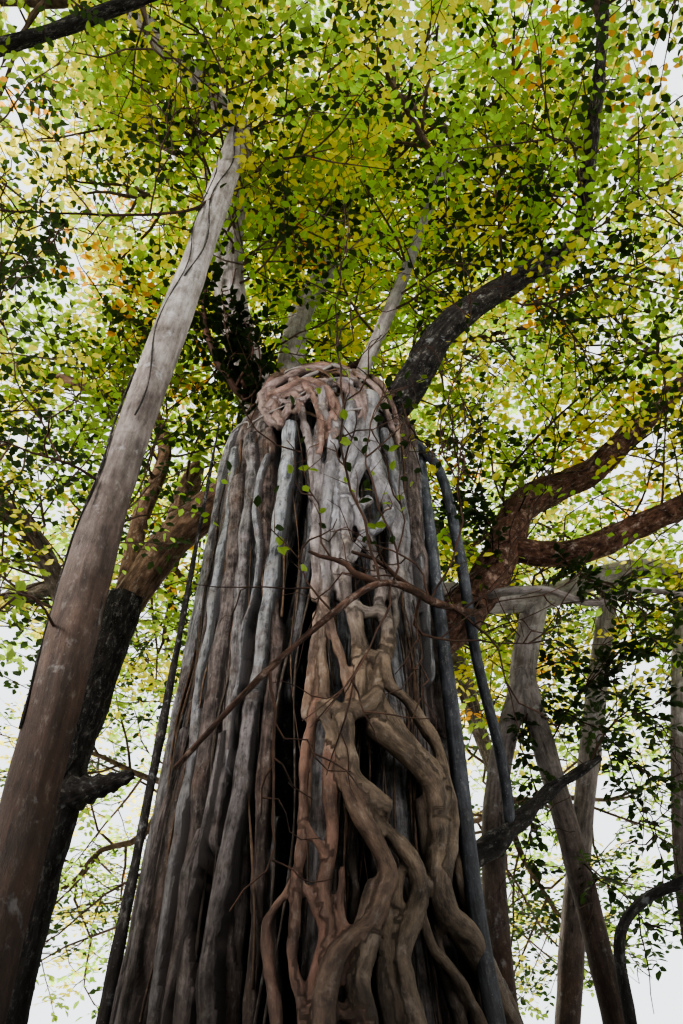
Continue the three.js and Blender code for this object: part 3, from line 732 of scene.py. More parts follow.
tilt = math.radians(view["tilt"])
viewAhead = np.array((0, math.cos(tilt), math.sin(tilt)))
viewUp = np.array((0, -math.sin(tilt), math.cos(tilt)))
viewRight = np.array((1.0, 0, 0))


def viewRay(across, down):
    ray = viewAhead + viewRight * (across - view["middle"][0]) / view["focal"]
    return unit(ray - viewUp * (down - view["middle"][1]) / view["focal"])


# Where the line of sight through a place in the picture meets the trunk's skin, raised by a stand-off.
def seenOnTrunk(across, down, out):
    steps = np.arange(3.5, 14.5, 0.02)
    line = view["place"] + viewRay(across, down) * steps[:, None]
    height = np.clip(line[:, 2], 0, trunk["height"])
    x = line[:, 0] + trunkLean(height)
    angle = np.arctan2(line[:, 1], x)
    gap = np.hypot(x, line[:, 1]) - (trunkRadius(angle, height, 0.75) + out)
    inside = np.nonzero(gap < 0)[0]
    return line[inside[0]] if len(inside) else line[int(np.argmin(gap))]


# A root over the trunk from places in the picture, and down to the ground where the picture ends.
def seenRoot(places, widths, out, drift=0.0, toGround=True):
    knots = [seenOnTrunk(across, down, out) for across, down in places]
    depth = [float((knot - view["place"]) @ viewAhead) for knot in knots]
    shares = np.linspace(0, 1, len(knots))
    thick = [0.5 * blend(*widths, share) * near / view["focal"] for share, near in zip(shares, depth)]
    if toGround:
        foot = knots[-1]
        angle = math.atan2(foot[1], foot[0] + trunkLean(foot[2]))
        for part in (0.35, 0.7, 1.0):
            height = blend(foot[2], -0.12, part)
            knots.append(onSkin(angle + math.radians(drift) * part, max(height, 0), out))
            knots[-1][2] = height
            thick.append(thick[-1] * 1.12)
    curve = curveThrough(knots)
    steps = max(8, int(curve["length"] / 0.09))
    points = pointsAt(curve, np.linspace(0, 1, steps + 1))
    # the noted thicknesses are spread over the curve by distance
    gaps = [float(np.linalg.norm(b - a)) for a, b in zip(knots, knots[1:])]
    marks = np.concatenate([[0], np.cumsum(gaps)])
    radii = np.interp(np.linspace(0, 1, steps + 1) * marks[-1], marks, thick)
    return points, radii


# Joins many tubes into one skin, and softens the places where they have grown together.
def grownTogether(name, tubes, voxel, squash, smooth, limit=195000):
    verts, faces = joined(tubes)
    obj = meshObject(name, verts * (1, 1, squash), faces)
    remesh = obj.modifiers.new("grow", "REMESH")
    remesh.mode = "VOXEL"
    remesh.voxel_size = voxel
    soften = obj.modifiers.new("soften", "SMOOTH")
    soften.factor = 0.5
    soften.iterations = smooth
    settled(obj, name)
    triangles = sum(len(face.vertices) - 2 for face in obj.data.polygons)
    if triangles > limit:
        thin = obj.modifiers.new("thin", "DECIMATE")
        thin.ratio = limit / triangles
        settled(obj, name)
    print(name, "triangles", triangles)
    putVerts(obj.data, vertsOf(obj.data) / (1, 1, squash))
    return obj


# How far apart along the grain the barks of neighbouring roots are
grainStep = 3.7


# For each vertex, which line it lies on, and its place along and round that line.
def grainOf(verts, lines):
    tree = KDTree(sum(len(line) for line in lines))
    owner, spot, frames = [], [], []
    for number, line in enumerate(lines):
        along = distanceAlong(line)
        tangents, normals, binormals = frameRings(line)
        for index, point in enumerate(line):
            tree.insert(point, len(owner))
            owner.append(number)
            spot.append(along[index])
        frames.append(np.stack([normals, binormals, tangents], axis=1))
    tree.balance()
    found = np.array([tree.find(vert)[1] for vert in verts])
    frames = np.concatenate(frames)[found]
    offset = verts - np.concatenate(lines)[found]
    grain = np.einsum("nij,nj->ni", frames, offset)
    owner = np.array(owner)[found]
    grain[:, 2] += np.array(spot)[found] + owner * grainStep
    return grain, owner


# The front's own roots, by their places in the picture: width in pixels at both ends, stand-off, tone and
# the line. One whose line ends below pictureFoot runs on to the ground.
pictureFoot = 990
frontRoots = {
    "edgeLichen": ((11, 16), 0.0, 0.95, [
        (236, 449), (230, 521), (221, 563), (211, 631), (200, 682), (197, 741), (189, 784), (181, 826),
        (172, 890), (164, 953), (155, 1021)]),
    "smoothBrown": ((19, 24), -0.05, 0.32, [
        (241, 480), (236, 551), (230, 614), (217, 682), (210, 741), (204, 784), (200, 847), (189, 911),
        (181, 974), (174, 1021)]),
    "roughPink": ((13, 18), -0.02, 0.55, [
        (251, 436), (253, 487), (247, 538), (242, 597), (239, 657), (236, 699), (232, 741), (221, 801),
        (215, 847)]),
    "thinTwist": ((6, 6), 0.06, 0.8, [
        (268, 455), (261, 474), (256, 508), (259, 551), (253, 597), (243, 631), (240, 674), (230, 720),
        (227, 768)]),
    "whiteColumn": ((15, 13), 0.03, 1.0, [
        (291, 425), (288, 461), (283, 500), (276, 545), (270, 590), (265, 622), (261, 655), (256, 690)]),
    "greySmooth": ((14, 24), 0.0, 0.62, [
        (262, 670), (253, 707), (246, 754), (241, 796), (231, 839), (225, 881), (215, 932), (210, 974),
        (209, 1021)]),
    "brownColumn": ((15, 17), -0.06, 0.22, [
        (272, 430), (268, 500), (266, 560), (273, 600), (276, 650), (272, 700), (266, 760), (262, 830),
        (258, 920), (250, 1021)]),
    "leftRough": ((14, 26), -0.03, 0.45, [
        (188, 730), (177, 780), (164, 830), (155, 880), (147, 940), (138, 1000)]),
    "lowLeft": ((15, 20), 0.02, 0.5, [
        (203, 830), (192, 870), (188, 930), (190, 975), (186, 1021)]),
    "hugger": ((6, 8), 0.08, 0.6, [
        (222, 735), (214, 780), (204, 830), (196, 866), (193, 890), (184, 930), (172, 985), (164, 1021)]),
    "innerPale": ((9, 10), -0.16, 0.75, [
        (309, 420), (310, 470), (312, 520), (308, 570), (300, 620), (292, 660), (288, 700)]),
    "blueStrip": ((7, 7), -0.1, 1.0, [
        (276, 820), (274, 850), (271, 885), (269, 905)]),
    "rightRough": ((22, 34), -0.06, 0.28, [
        (401, 420), (405, 450), (409, 500), (413, 550), (420, 600), (427, 660), (434, 730), (452, 790),
        (466, 860), (480, 940), (492, 1010)]),
    "rightPale": ((10, 11), 0.0, 0.9, [
        (421, 437), (427, 465), (433, 500), (437, 542), (438, 589), (436, 640), (440, 690)]),
    "rightThin": ((6, 7), 0.04, 0.7, [
        (411, 425), (418, 470), (422, 520), (420, 570), (427, 620), (431, 680)]),
    "behindBend": ((16, 18), -0.12, 0.15, [
        (402, 640), (405, 700), (402, 760), (404, 820), (410, 880)]),
}


# How much of a root's end sinks into the trunk
sinkLength = 0.35


# The share of an angle that faces the front
def frontShare(angle):
    return 1 / (1 + np.exp(-12 * (-np.sin(angle) - 0.55)))


# The roots that make up the trunk, each with its angle, stand-off and radius at every height, and its tone.
def trunkRoots(heights):
    roots = []
    share = heights / trunk["height"]
    for index in range(2 * trunk["columns"]):
        crest = index % 2 == 0
        seed = chance(index, 31)
        turn = math.pi * index / trunk["columns"]
        angle = np.full(len(heights), turn)
        for _ in range(8):
            angle = turn - trunkWander(angle, share)
        angle = angle + 0.03 * np.sin(8 * share + 5 * seed) + 0.015 * np.sin(23 * share + 9 * seed)
        radius = (trunk["columnRadius"] if crest else trunk["backRadius"]) * (0.75 + 0.5 * seed)
        radius = radius * (1 + 0.14 * np.sin(11 * share + 7 * seed) + 0.08 * np.sin(29 * share + 3 * seed))
        out = (-0.75 * radius if crest else -0.2 + 0 * radius) - trunk["frontInset"] * frontShare(angle)
        roots.append((angle, out, radius, 0.12 + (0.8 if crest else 0.4) * chance(index, 32)))
    # slim roots that wander over the columns
    for index in range(trunk["slimRoots"]):
        turn = 2 * math.pi * (index + 0.7 * chance(index, 35)) / trunk["slimRoots"]
        swing = 0.15 * np.sin(5 * share + 6 * chance(index, 36)) + 0.05 * np.sin(17 * share + index)
        radius = (0.03 + 0.05 * chance(index, 37) ** 2) * (1 + 0.2 * np.sin(19 * share + index))
        out = 0.02 * np.sin(13 * share + index) - 0.16 * frontShare(turn + swing)
        roots.append((turn + swing, out, radius, 0.2 + 0.75 * chance(index, 39)))
    for widths, out, tone, places in frontRoots.values():
        toGround = places[-1][1] > pictureFoot
        points, radii = seenRoot(places, widths, out, 3.0, toGround)
        order = np.argsort(points[:, 2])
        rise = points[order, 2]
        angles = np.arctan2(points[order, 1], points[order, 0] + trunkLean(points[order, 2]))
        angle = np.interp(heights, rise, angles)
        radius = np.interp(heights, rise, radii[order])
        # a root's ends sink into the trunk
        sunk = np.clip((heights - rise[-1]) / sinkLength, 0, 1)
        if not toGround:
            sunk = sunk + np.clip((rise[0] - heights) / sinkLength, 0, 1)
        roots.append((angle, out - 0.6 * sunk, radius * (1 + 0.1 * np.sin(9 * heights)), tone))
    return roots


# The trunk's skin: towards every angle the root that stands out most, so its grooves stay deep and sharp.
def buildTrunk():
    heights = trunk["height"] * np.linspace(0, 1, trunk["rows"])
    front = np.radians(np.linspace(-170, -10, trunk["frontSides"], endpoint=False))
    back = np.radians(np.linspace(-10, 190, trunk["backSides"], endpoint=False))
    angles = np.concatenate([front, back])
    shape = (len(heights), len(angles))
    level = np.broadcast_to(heights[:, None], shape)
    skin = trunkRadius(angles[None, :], level, 0.5) - trunk["coreInset"]
    skin = skin + 0.03 * np.sin(31 * angles)[None, :] + 0 * level
    grain = np.stack([skin * angles[None, :], 0 * level, level], axis=-1)
    tone = np.full(shape, 0.1)
    for number, (angle, out, radius, rootTone) in enumerate(trunkRoots(heights)):
        middle = trunkRadius(angle, heights, 0.75) + out
        across = (angles[None, :] - angle[:, None] + math.pi) % (2 * math.pi) - math.pi
        across = across * middle[:, None]
        inside = np.abs(across) < radius[:, None]
        bulge = np.sqrt(np.maximum(radius[:, None] ** 2 - across**2, 0))
        reach = middle[:, None] + bulge
        wins = inside & (reach > skin)
        skin = np.where(wins, reach, skin)
        tone = np.where(wins, rootTone, tone)
        place = np.stack([across, bulge, level + number * grainStep], axis=-1)
        grain = np.where(wins[..., None], place, grain)
    # Painted shade: the further the skin lies below the crests, the darker its bark is painted.
    crest = trunkRadius(angles[None, :], level, 0.9)
    groove = np.clip((crest - skin) / 0.3, 0, 1)
    x = skin * np.cos(angles)[None, :] - trunkLean(level)
    verts = np.stack([x, skin * np.sin(angles)[None, :], level], axis=-1).reshape(-1, 3)
    middles = np.array([(0, 0, 0), (0, 0, trunk["height"] + 0.04)])
    obj = meshObject(
        "trunk_wood", np.concatenate([verts, middles]), ringQuads(*shape) + ringCaps(*shape),
        grain=np.concatenate([grain.reshape(-1, 3), middles]),
        groove=np.concatenate([groove.ravel(), (0.5, 0.5)]),
        tone=np.concatenate([tone.ravel(), (0.2, 0.2)]),
    )
    values = {
        "Fibre Depth": 0.05, "Fibre Scale": 11.0, "Stretch": 0.13, "Knob Depth": 0.05, "Knob Scale": 2.6,
        "Bark": trunkBark,
    }
    addRelief(obj, values, "trunk_bark", "trunk")
    print("trunk made", len(obj.data.polygons))


# Root lattice

# Strands by their places in the picture: width in pixels at both ends, stand-off, drift at the foot in
# degrees, how pink the root is, and the line
latticeStrands = {
    "rightOuter": ((13, 15), 0.2, 4, 0.0, [
        (382, 660), (390, 686), (406, 699), (420, 720), (437, 746), (442, 769), (446, 790), (454, 813),
        (452, 836), (446, 870)]),
    "mainDiagonal": ((22, 29), 0.17, 6, 0.0, [
        (372, 723), (393, 741), (416, 762), (432, 783), (437, 804), (439, 823), (439, 853), (439, 892),
        (446, 915), (465, 934), (481, 962), (497, 997), (509, 1024)]),
    "overDiagonal": ((18, 13), 0.19, 0, 0.0, [
        (377, 700), (402, 734), (423, 758), (439, 776), (446, 792), (440, 815)]),
    "bigBend": ((22, 27), 0.2, 0, 0.0, [
        (344, 707), (344, 730), (345, 758), (353, 783), (369, 799), (384, 812)]),
    "secondBend": ((15, 25), 0.18, 2, 0.0, [
        (369, 799), (374, 818), (393, 836), (409, 857), (420, 881), (418, 906), (409, 927), (402, 953),
        (406, 980), (413, 1008), (416, 1024)]),
    "longBend": ((16, 24), 0.22, -2, 0.4, [
        (341, 771), (353, 799), (369, 829), (381, 850), (388, 876), (381, 899), (372, 922), (353, 936),
        (334, 960), (326, 990), (324, 1018)]),
    "longBendLeg": ((22, 19), 0.19, 1, 0.0, [
        (381, 899), (372, 922), (367, 950), (360, 985), (367, 1006), (372, 1024)]),
    "middleLeft": ((15, 17), 0.15, -3, 0.85, [
        (335, 735), (330, 762), (330, 799), (332, 823), (330, 853), (323, 881), (325, 911), (330, 927),
        (323, 953), (316, 980), (319, 1004)]),
    "farLeft": ((10, 13), 0.16, -5, 0.85, [
        (318, 702), (311, 725), (304, 758), (302, 790), (303, 823), (300, 855), (297, 883), (295, 915),
        (293, 950), (295, 985), (302, 1006)]),
    "crossOver": ((9, 9), 0.16, 0, 0.85, [
        (304, 823), (316, 841), (325, 856)]),
    "leftArch": ((11, 13), 0.12, -5, 0.85, [
        (297, 872), (293, 883), (281, 901), (268, 918), (267, 950), (272, 985), (276, 1008)]),
    "knotTop": ((15, 19), 0.2, 0, 0.0, [
        (323, 702), (339, 710), (355, 711), (367, 706), (378, 694)]),
    "knotSide": ((11, 11), 0.18, 0, 0.0, [
        (321, 711), (330, 730), (336, 742), (344, 748)]),
    "rightLow": ((13, 21), 0.12, 8, 0.0, [
        (456, 830), (460, 846), (460, 874), (465, 895), (476, 927), (485, 962), (502, 997), (512, 1020)]),
    "innerRight": ((11, 15), 0.16, 5, 0.0, [
        (423, 920), (432, 948), (451, 969), (467, 994), (481, 1024)]),
    "thinInner": ((9, 10), 0.13, 0, 0.0, [
        (390, 915), (388, 962), (393, 997), (398, 1020)]),
    "lowCross": ((13, 15), 0.18, 0, 0.85, [
        (305, 1012), (318, 1009), (330, 1011), (346, 1018), (362, 1012)]),
    "centreLow": ((16, 19), 0.12, 2, 0.0, [
        (398, 870), (396, 900), (392, 935), (384, 965), (386, 1000), (390, 1022)]),
    # the upper half, pale
    "upperLeft": ((13, 13), 0.12, 0, 0.15, [
        (338, 400), (334, 437), (330, 471), (325, 506), (323, 534), (323, 567), (325, 593), (320, 625),
        (321, 655), (323, 690), (325, 712)]),
    "upperRight": ((19, 17), 0.16, 0, 0.15, [
        (369, 396), (369, 437), (375, 467), (386, 497), (395, 523), (396, 549), (395, 578), (391, 600)]),
    "upperWeb": ((13, 13), 0.14, 0, 0.15, [
        (366, 420), (356, 445), (345, 471), (345, 500), (347, 540), (345, 580), (350, 612)]),
    "upperWebRight": ((10, 13), 0.15, 0, 0.15, [
        (358, 442), (362, 462), (354, 489), (360, 520), (372, 552), (380, 585), (378, 612)]),
    "upperLink": ((13, 11), 0.14, 0, 0.15, [
        (345, 500), (356, 508), (370, 500)]),
    "plateLeft": ((16, 20), 0.16, 0, 0.0, [
        (352, 600), (356, 625), (360, 650), (358, 675), (355, 700), (350, 712)]),
    "plateRight": ((15, 19), 0.17, 0, 0.0, [
        (378, 605), (386, 622), (388, 640), (384, 658), (376, 680), (374, 700), (375, 720)]),
    "plateTop": ((13, 13), 0.17, 0, 0.0, [
        (352, 607), (364, 612), (378, 612), (388, 620)]),
    "plateMiddle": ((17, 15), 0.165, 0, 0.0, [
        (354, 655), (366, 657), (382, 658)]),
    "innerLeft": ((10, 10), 0.17, 0, 0.4, [
        (323, 600), (334, 638), (345, 671), (349, 700)]),
    "sideRight": ((8, 10), 0.16, 0, 0.0, [
        (390, 595), (396, 612), (392, 632), (386, 652)]),
    "strandLow": ((12, 15), 0.15, 0, 0.0, [
        (364, 670), (369, 700), (368, 718)]),
    "outerLeft": ((8, 10), 0.12, 0, 0.4, [
        (316, 612), (314, 640), (311, 665), (308, 690), (305, 720)]),
    # the collar's loops
    "collarTop": ((11, 10), 0.12, 0, 0.6, [
        (262, 398), (270, 388), (283, 380), (302, 372), (323, 369), (343, 373), (360, 388), (374, 402)]),
    "collarLower": ((8, 9), 0.14, 0, 0.6, [
        (268, 408), (284, 394), (302, 389), (317, 387), (326, 400), (323, 413), (330, 424), (336, 440)]),
    "collarLeft": ((11, 8), 0.13, 0, 0.6, [
        (262, 396), (265, 410), (273, 424), (284, 418), (290, 402)]),
    "collarMiddle": ((8, 7), 0.15, 0, 0.6, [
        (290, 380), (306, 384), (330, 381), (352, 392), (361, 406), (366, 424)]),
    "collarKnob": ((13, 10), 0.1, 0, 0.6, [
        (272, 392), (276, 408), (281, 428)]),
    "collarRight": ((9, 8), 0.12, 0, 0.6, [
        (344, 372), (362, 378), (378, 392), (385, 410), (392, 430)]),
    "collarBack": ((9, 8), 0.08, 0, 0.8, [
        (264, 402), (272, 380), (292, 371), (318, 366), (340, 368), (356, 378)]),
    "collarBrow": ((7, 6), 0.2, 0, 0.8, [
        (268, 396), (288, 386), (304, 380), (316, 381), (330, 392), (334, 408), (328, 424)]),
    "collarHook": ((6, 6), 0.19, 0, 0.3, [
        (352, 384), (340, 378), (326, 384), (321, 398), (324, 412), (333, 424)]),
    "collarSlant": ((7, 7), 0.16, 0, 0.8, [
        (296, 378), (310, 392), (318, 408), (322, 430), (320, 452)]),
    "collarCross": ((6, 7), 0.15, 0, 0.5, [
        (276, 400), (294, 402), (310, 396), (326, 388), (344, 380), (358, 384)]),
    "collarFall": ((8, 9), 0.1, 0, 0.4, [
        (300, 392), (302, 410), (306, 432), (312, 460), (314, 500)]),
    "collarTwist": ((6, 6), 0.14, 0, 0.7, [
        (282, 424), (276, 414), (280, 400), (292, 394), (300, 402), (294, 414)]),
    "collarFarRight": ((7, 7), 0.12, 0, 0.7, [
        (350, 372), (368, 376), (382, 386), (390, 400), (396, 420), (398, 446)]),
    "pinkA": ((6, 7), 0.15, -3, 1.0, [
        (308, 885), (313, 911), (321, 932), (316, 962), (312, 987), (309, 1021)]),
    "pinkB": ((8, 9), 0.15, -4, 1.0, [
        (297, 873), (293, 911), (294, 953), (299, 985), (304, 1021)]),
    "pinkC": ((9, 10), 0.17, 0, 0.9, [
        (342, 868), (341, 911), (347, 945), (342, 974), (329, 996)]),
    "fanLow": ((11, 13), 0.16, 0, 0.5, [
        (313, 1016), (330, 1008), (348, 1010), (362, 1021)]),
    "leftInner": ((9, 11), 0.1, -2, 0.5, [
        (322, 640), (317, 680), (313, 720), (308, 770), (306, 812)]),
    "stemRight": ((12, 16), 0.16, 2, 0.2, [
        (372, 880), (366, 905), (356, 940), (352, 985), (356, 1022)]),
    "deepRight": ((12, 14), 0.06, 3, 0.1, [
        (420, 800), (424, 840), (430, 880), (434, 930), (446, 980), (460, 1022)]),
    "deepMiddle": ((10, 12), 0.05, 0, 0.1, [
        (356, 820), (352, 860), (356, 900), (350, 940), (338, 985)]),
    "upperMiddle": ((14, 13), 0.1, 0, 0.1, [
        (352, 392), (350, 425), (347, 455), (338, 490), (337, 530), (338, 575), (342, 600)]),
    "upperFar": ((9, 10), 0.12, 0, 0.3, [
        (324, 405), (318, 440), (318, 480), (316, 520), (315, 560), (316, 600)]),
    "upperRightLow": ((13, 11), 0.13, 0, 0.1, [
        (384, 430), (390, 460), (397, 490), (404, 520), (404, 560), (400, 590)]),
    "upperSlant": ((10, 10), 0.15, 0, 0.1, [
        (352, 560), (362, 540), (376, 530), (390, 515)]),
}


# A strand whose line ends below this place in the picture runs on to the ground.
strandFoot = 1000


def buildLattice():
    tubes, lines, pinks = [], [], []
    for widths, out, drift, pink, places in latticeStrands.values():
        points, radii = seenRoot(places, widths, out, drift, places[-1][1] > strandFoot)
        number = len(lines)
        along = np.linspace(0, 1, len(points))
        radii = radii * (1 + 0.12 * np.sin(23 * along + number) + 0.08 * np.sin(51 * along + 2 * number))
        tubes.append(tube(points, radii, 14))
        lines.append(points)
        pinks.append(pink)
    obj = grownTogether("lattice_wood", tubes, 0.018, 0.55, 4)
    verts = vertsOf(obj.data)
    grain, owner = grainOf(verts, lines)
    # Painted shade: the closer a strand lies to the trunk's skin, the darker it is painted.
    x = verts[:, 0] + trunkLean(verts[:, 2])
    skin = trunkRadius(np.arctan2(verts[:, 1], x), verts[:, 2], 0.75)
    groove = np.clip(1 - (np.hypot(x, verts[:, 1]) - skin) / 0.17, 0, 1)
    setAttributes(obj.data, {"grain": grain, "groove": groove, "pink": np.array(pinks)[owner]})
    values = {
        "Fibre Depth": 0.022, "Fibre Scale": 9.0, "Stretch": 0.3, "Knob Depth": 0.045, "Knob Scale": 4.5,
        "Bark": latticeBark,
    }
    addRelief(obj, values, "lattice_bark", "root_lattice")
    print("lattice made", len(obj.data.polygons))


# Masses of foliage

crown = [
    {"name": "low", "count": 8, "out": 9.35, "height": 8.25, "reach": (4.05, 3.35), "turn": 22.5},
    {"name": "middle", "count": 6, "out": 6.6, "height": 12.15, "reach": (3.6, 2.85), "turn": 0},
    {"name": "high", "count": 4, "out": 2.85, "height": 15.3, "reach": (3.05, 2.45), "turn": 45},
    {"name": "top", "count": 1, "out": 0, "height": 17.35, "reach": (2.7, 2.0), "turn": 0},
]
massGap = 0.06
unevenness = 0.05

# Where a bough ends before its mass's middle, how long its straight end is, and how far its stem runs on
entryShare = 0.72
straightEnd = 0.7
stemReach = 1.2


def reachTowards(mass, direction):
    return 1 / math.sqrt(float(((direction / mass["reach"]) ** 2).sum()))


def makeMasses():
    masses = {}
    for ringPlace, ring in enumerate(crown):
        for index in range(ring["count"]):
            seed = 10 * ringPlace + index + 1
            strays = [1 + unevenness * (2 * chance(seed, place) - 1) for place in (1, 2, 3)]
            angle = math.radians(ring["turn"] + 360 * index / ring["count"])
            name = f"{ring['name']}_{index + 1}" if ring["count"] > 1 else ring["name"]
            reach = np.array((ring["reach"][0], ring["reach"][0], ring["reach"][1])) * strays[2]
            middle = around(angle, ring["out"] * strays[0], ring["height"] * strays[1])
            masses[name] = {"name": name, "seed": seed, "angle": angle, "middle": middle, "reach": reach}
    for mass in masses.values():
        normals, levels = [], []
        for other in masses.values():
            if other is mass:
                continue
            between = other["middle"] - mass["middle"]
            apart = float(np.linalg.norm(between))
            normal = between / apart
            mine = reachTowards(mass, normal)
            share = mine / (mine + reachTowards(other, normal))
            point = mass["middle"] + normal * (apart * share - massGap / 2)
            normals.append(normal)
            levels.append(float(normal @ point))
        mass["wallNormals"] = np.array(normals)
        mass["wallLevels"] = np.array(levels)
    return masses


masses = makeMasses()


def roomTowards(mass, start, direction):
    place = (start - mass["middle"]) / mass["reach"]
    step = direction / mass["reach"]
    a, b, c = float(step @ step), float(place @ step), float(place @ place) - 1
    toShell = (-b + math.sqrt(max(0, b * b - a * c))) / a
    facing = mass["wallNormals"] @ direction
    apart = mass["wallLevels"] - mass["wallNormals"] @ start
    ahead = facing > 1e-6
    return min(toShell, float((apart[ahead] / facing[ahead]).min())) if ahead.any() else toShell


# Limbs

limbs = {}
stemFlareHeight = 0.6


def addLimb(name, knots, thick, bark, flare=0.0):
    radii = (thick[0] / 1000, thick[1] / 1000)
    limbs[name] = {"curve": curveThrough(knots), "thick": radii, "bark": bark, "flare": flare / 1000}


def limbPoint(name, share):
    return pointsAt(limbs[name]["curve"], share)


def addBough(massName, start, knees, thick, bark="grey"):
    mass = masses[massName]
    heading = unit(mass["middle"] - knees[-1])
    tip = mass["middle"] - heading * entryShare * reachTowards(mass, heading)
    mass["heading"] = heading
    mass["tip"] = tip
    mass["stemLength"] = float(np.linalg.norm(mass["middle"] - tip)) * stemReach
    addLimb(f"bough_{massName}", [start, *knees, tip - heading * straightEnd, tip], thick, bark)


def addTrunkBough(massName, height, arch, bend, thick):
    mass = masses[massName]
    start = around(mass["angle"], 0.45, height / 1000)
    knee = blend(start, mass["middle"], 0.48)
    knee[2] += arch / 1000
    knee = knee + around(mass["angle"] + math.pi / 2, bend / 1000, 0)
    addBough(massName, start, [knee], thick)


def addPillar(name, foot, head, sway, thick, flare, bark):
    middle = blend(foot, head, 0.5)
    middle[0] += sway / 1000
    rise = blend(foot, head, 0.12)
    rise[:2] = foot[:2]
    addLimb(name, [foot - np.array((0, 0, 0.35)), rise, middle, head], thick, bark, flare)


roughKnees = [mm(1950, 750, 7830), mm(2400, 900, 8670), mm(2780, 950, 9500), mm(3950, 950, 10250)]
addBough("middle_1", mm(700, 350, 6300), roughKnees, (310, 170), "red")
addBough("low_8", mm(2380, 890, 8640), [mm(3230, 800, 8490), mm(4130, 500, 8720)], (185, 110), "red")
paleKnees = [mm(3190, 2000, 8700), mm(4160, 2300, 9300), mm(5200, 2480, 9600)]
addBough("low_1", mm(600, 700, 7700), paleKnees, (220, 135), "pale")
addBough("low_7", limbPoint("bough_low_8", 0.5), [mm(5000, -2900, 9000)], (130, 95))

stemHead = mm(-2420, 520, 7500)
stemKnots = [mm(-2950, 900, -350), mm(-2780, 820, 2500), mm(-2700, 640, 5200), stemHead]
addLimb("second_stem", stemKnots, (270, 235), "dark", 180)
linkKnots = [limbPoint("second_stem", 0.975), mm(-1950, 480, 8500), mm(-900, 350, 9600)]
addLimb("stem_link", linkKnots, (215, 250), "brown")
leftKnees = [mm(-2560, 780, 9100), mm(-2500, 900, 10700), mm(-3000, 850, 11700)]
addBough("middle_4", limbPoint("second_stem", 0.96), leftKnees, (125, 95), "brown")
backKnees = [mm(-2120, 950, 9700), mm(-2100, 1500, 10900)]
addBough("middle_3", limbPoint("stem_link", 0.4), backKnees, (115, 95), "brown")
addBough("low_4", limbPoint("second_stem", 0.93), [mm(-3600, 1300, 8300)], (130, 100))
addBough("low_5", limbPoint("second_stem", 0.86), [mm(-3600, -700, 7900)], (125, 85))
addBough("low_6", limbPoint("bough_low_5", 0.45), [mm(-4900, -4600, 8600)], (100, 80))

darkKnees = [mm(1050, -850, 9850), mm(1500, -1450, 10300), mm(2580, -1690, 11200), mm(3450, -1950, 11800)]
addBough("middle_6", mm(250, -150, 9300), darkKnees, (240, 90), "dark")
pillarHead = mm(-1100, -3200, 12250)
addBough("middle_5", mm(-600, -150, 9600), [mm(-1300, -1350, 11500), pillarHead], (170, 135), "pale")
addTrunkBough("middle_2", 9300, 500, 260, (250, 150))
addTrunkBough("low_2", 8000, 900, -350, (260, 140))
addTrunkBough("low_3", 8300, 900, -350, (260, 140))
leaders = {
    "high_1": (mm(380, 330, 9700), (225, 130)),
    "high_2": (mm(-380, 420, 9700), (225, 130)),
    "high_3": (mm(-780, 150, 9600), (150, 95)),
    "high_4": (mm(180, -430, 9700), (110, 70)),
}
for massName, (start, thick) in leaders.items():
    mass = masses[massName]
    knee = blend(start, mass["middle"], 0.45)
    knee[0] += 0.22 * (2 * chance(mass["seed"], 7) - 1)
    knee[1] += 0.22 * (2 * chance(mass["seed"], 8) - 1)
    addBough(massName, start, [knee], thick, "pale")
addBough("top", mm(-540, -200, 9700), [mm(-480, -220, 12400), mm(-60, -100, 14300)], (225, 140), "pale")

pillarKnots = [mm(-1400, -3230, 3600), mm(-1430, -3230, 5300), mm(-1210, -3230, 9300), pillarHead]
addLimb("left_pillar", [mm(-1390, -3230, -350), *pillarKnots], (148, 140), "pale", 90)
edgeHead = limbPoint("bough_low_1", 0.84)
addPillar("right_edge_pillar", mm(3950, 2750, 0), edgeHead, -500, (110, 85), 60, "pale")
leaningKnots = [mm(2480, 4600, 1200), mm(3200, 4430, 4500), mm(3900, 3600, 7350)]
leaningKnots = [mm(2400, 4600, -350), *leaningKnots, limbPoint("bough_low_1", 0.66)]
addLimb("leaning_pillar", leaningKnots, (175, 145), "pale", 130)
greyPillars = {
    "back_pillar": (mm(900, 5300, 0), ("bough_middle_2", 0.7), 120, (190, 130), 120),
    "back_left_pillar": (mm(-2300, 5200, 0), ("bough_low_3", 0.62), -110, (170, 120), 110),
    "far_left_pillar": (mm(-5600, -1750, 0), ("bough_low_5", 0.72), 90, (135, 85), 100),
    "front_right_pillar": (mm(5200, -2300, 0), ("bough_low_7", 0.45), -90, (150, 100), 100),
}
for name, (foot, head, sway, thick, flare) in greyPillars.items():
    addPillar(name, foot, limbPoint(*head), sway, thick, flare, "grey")

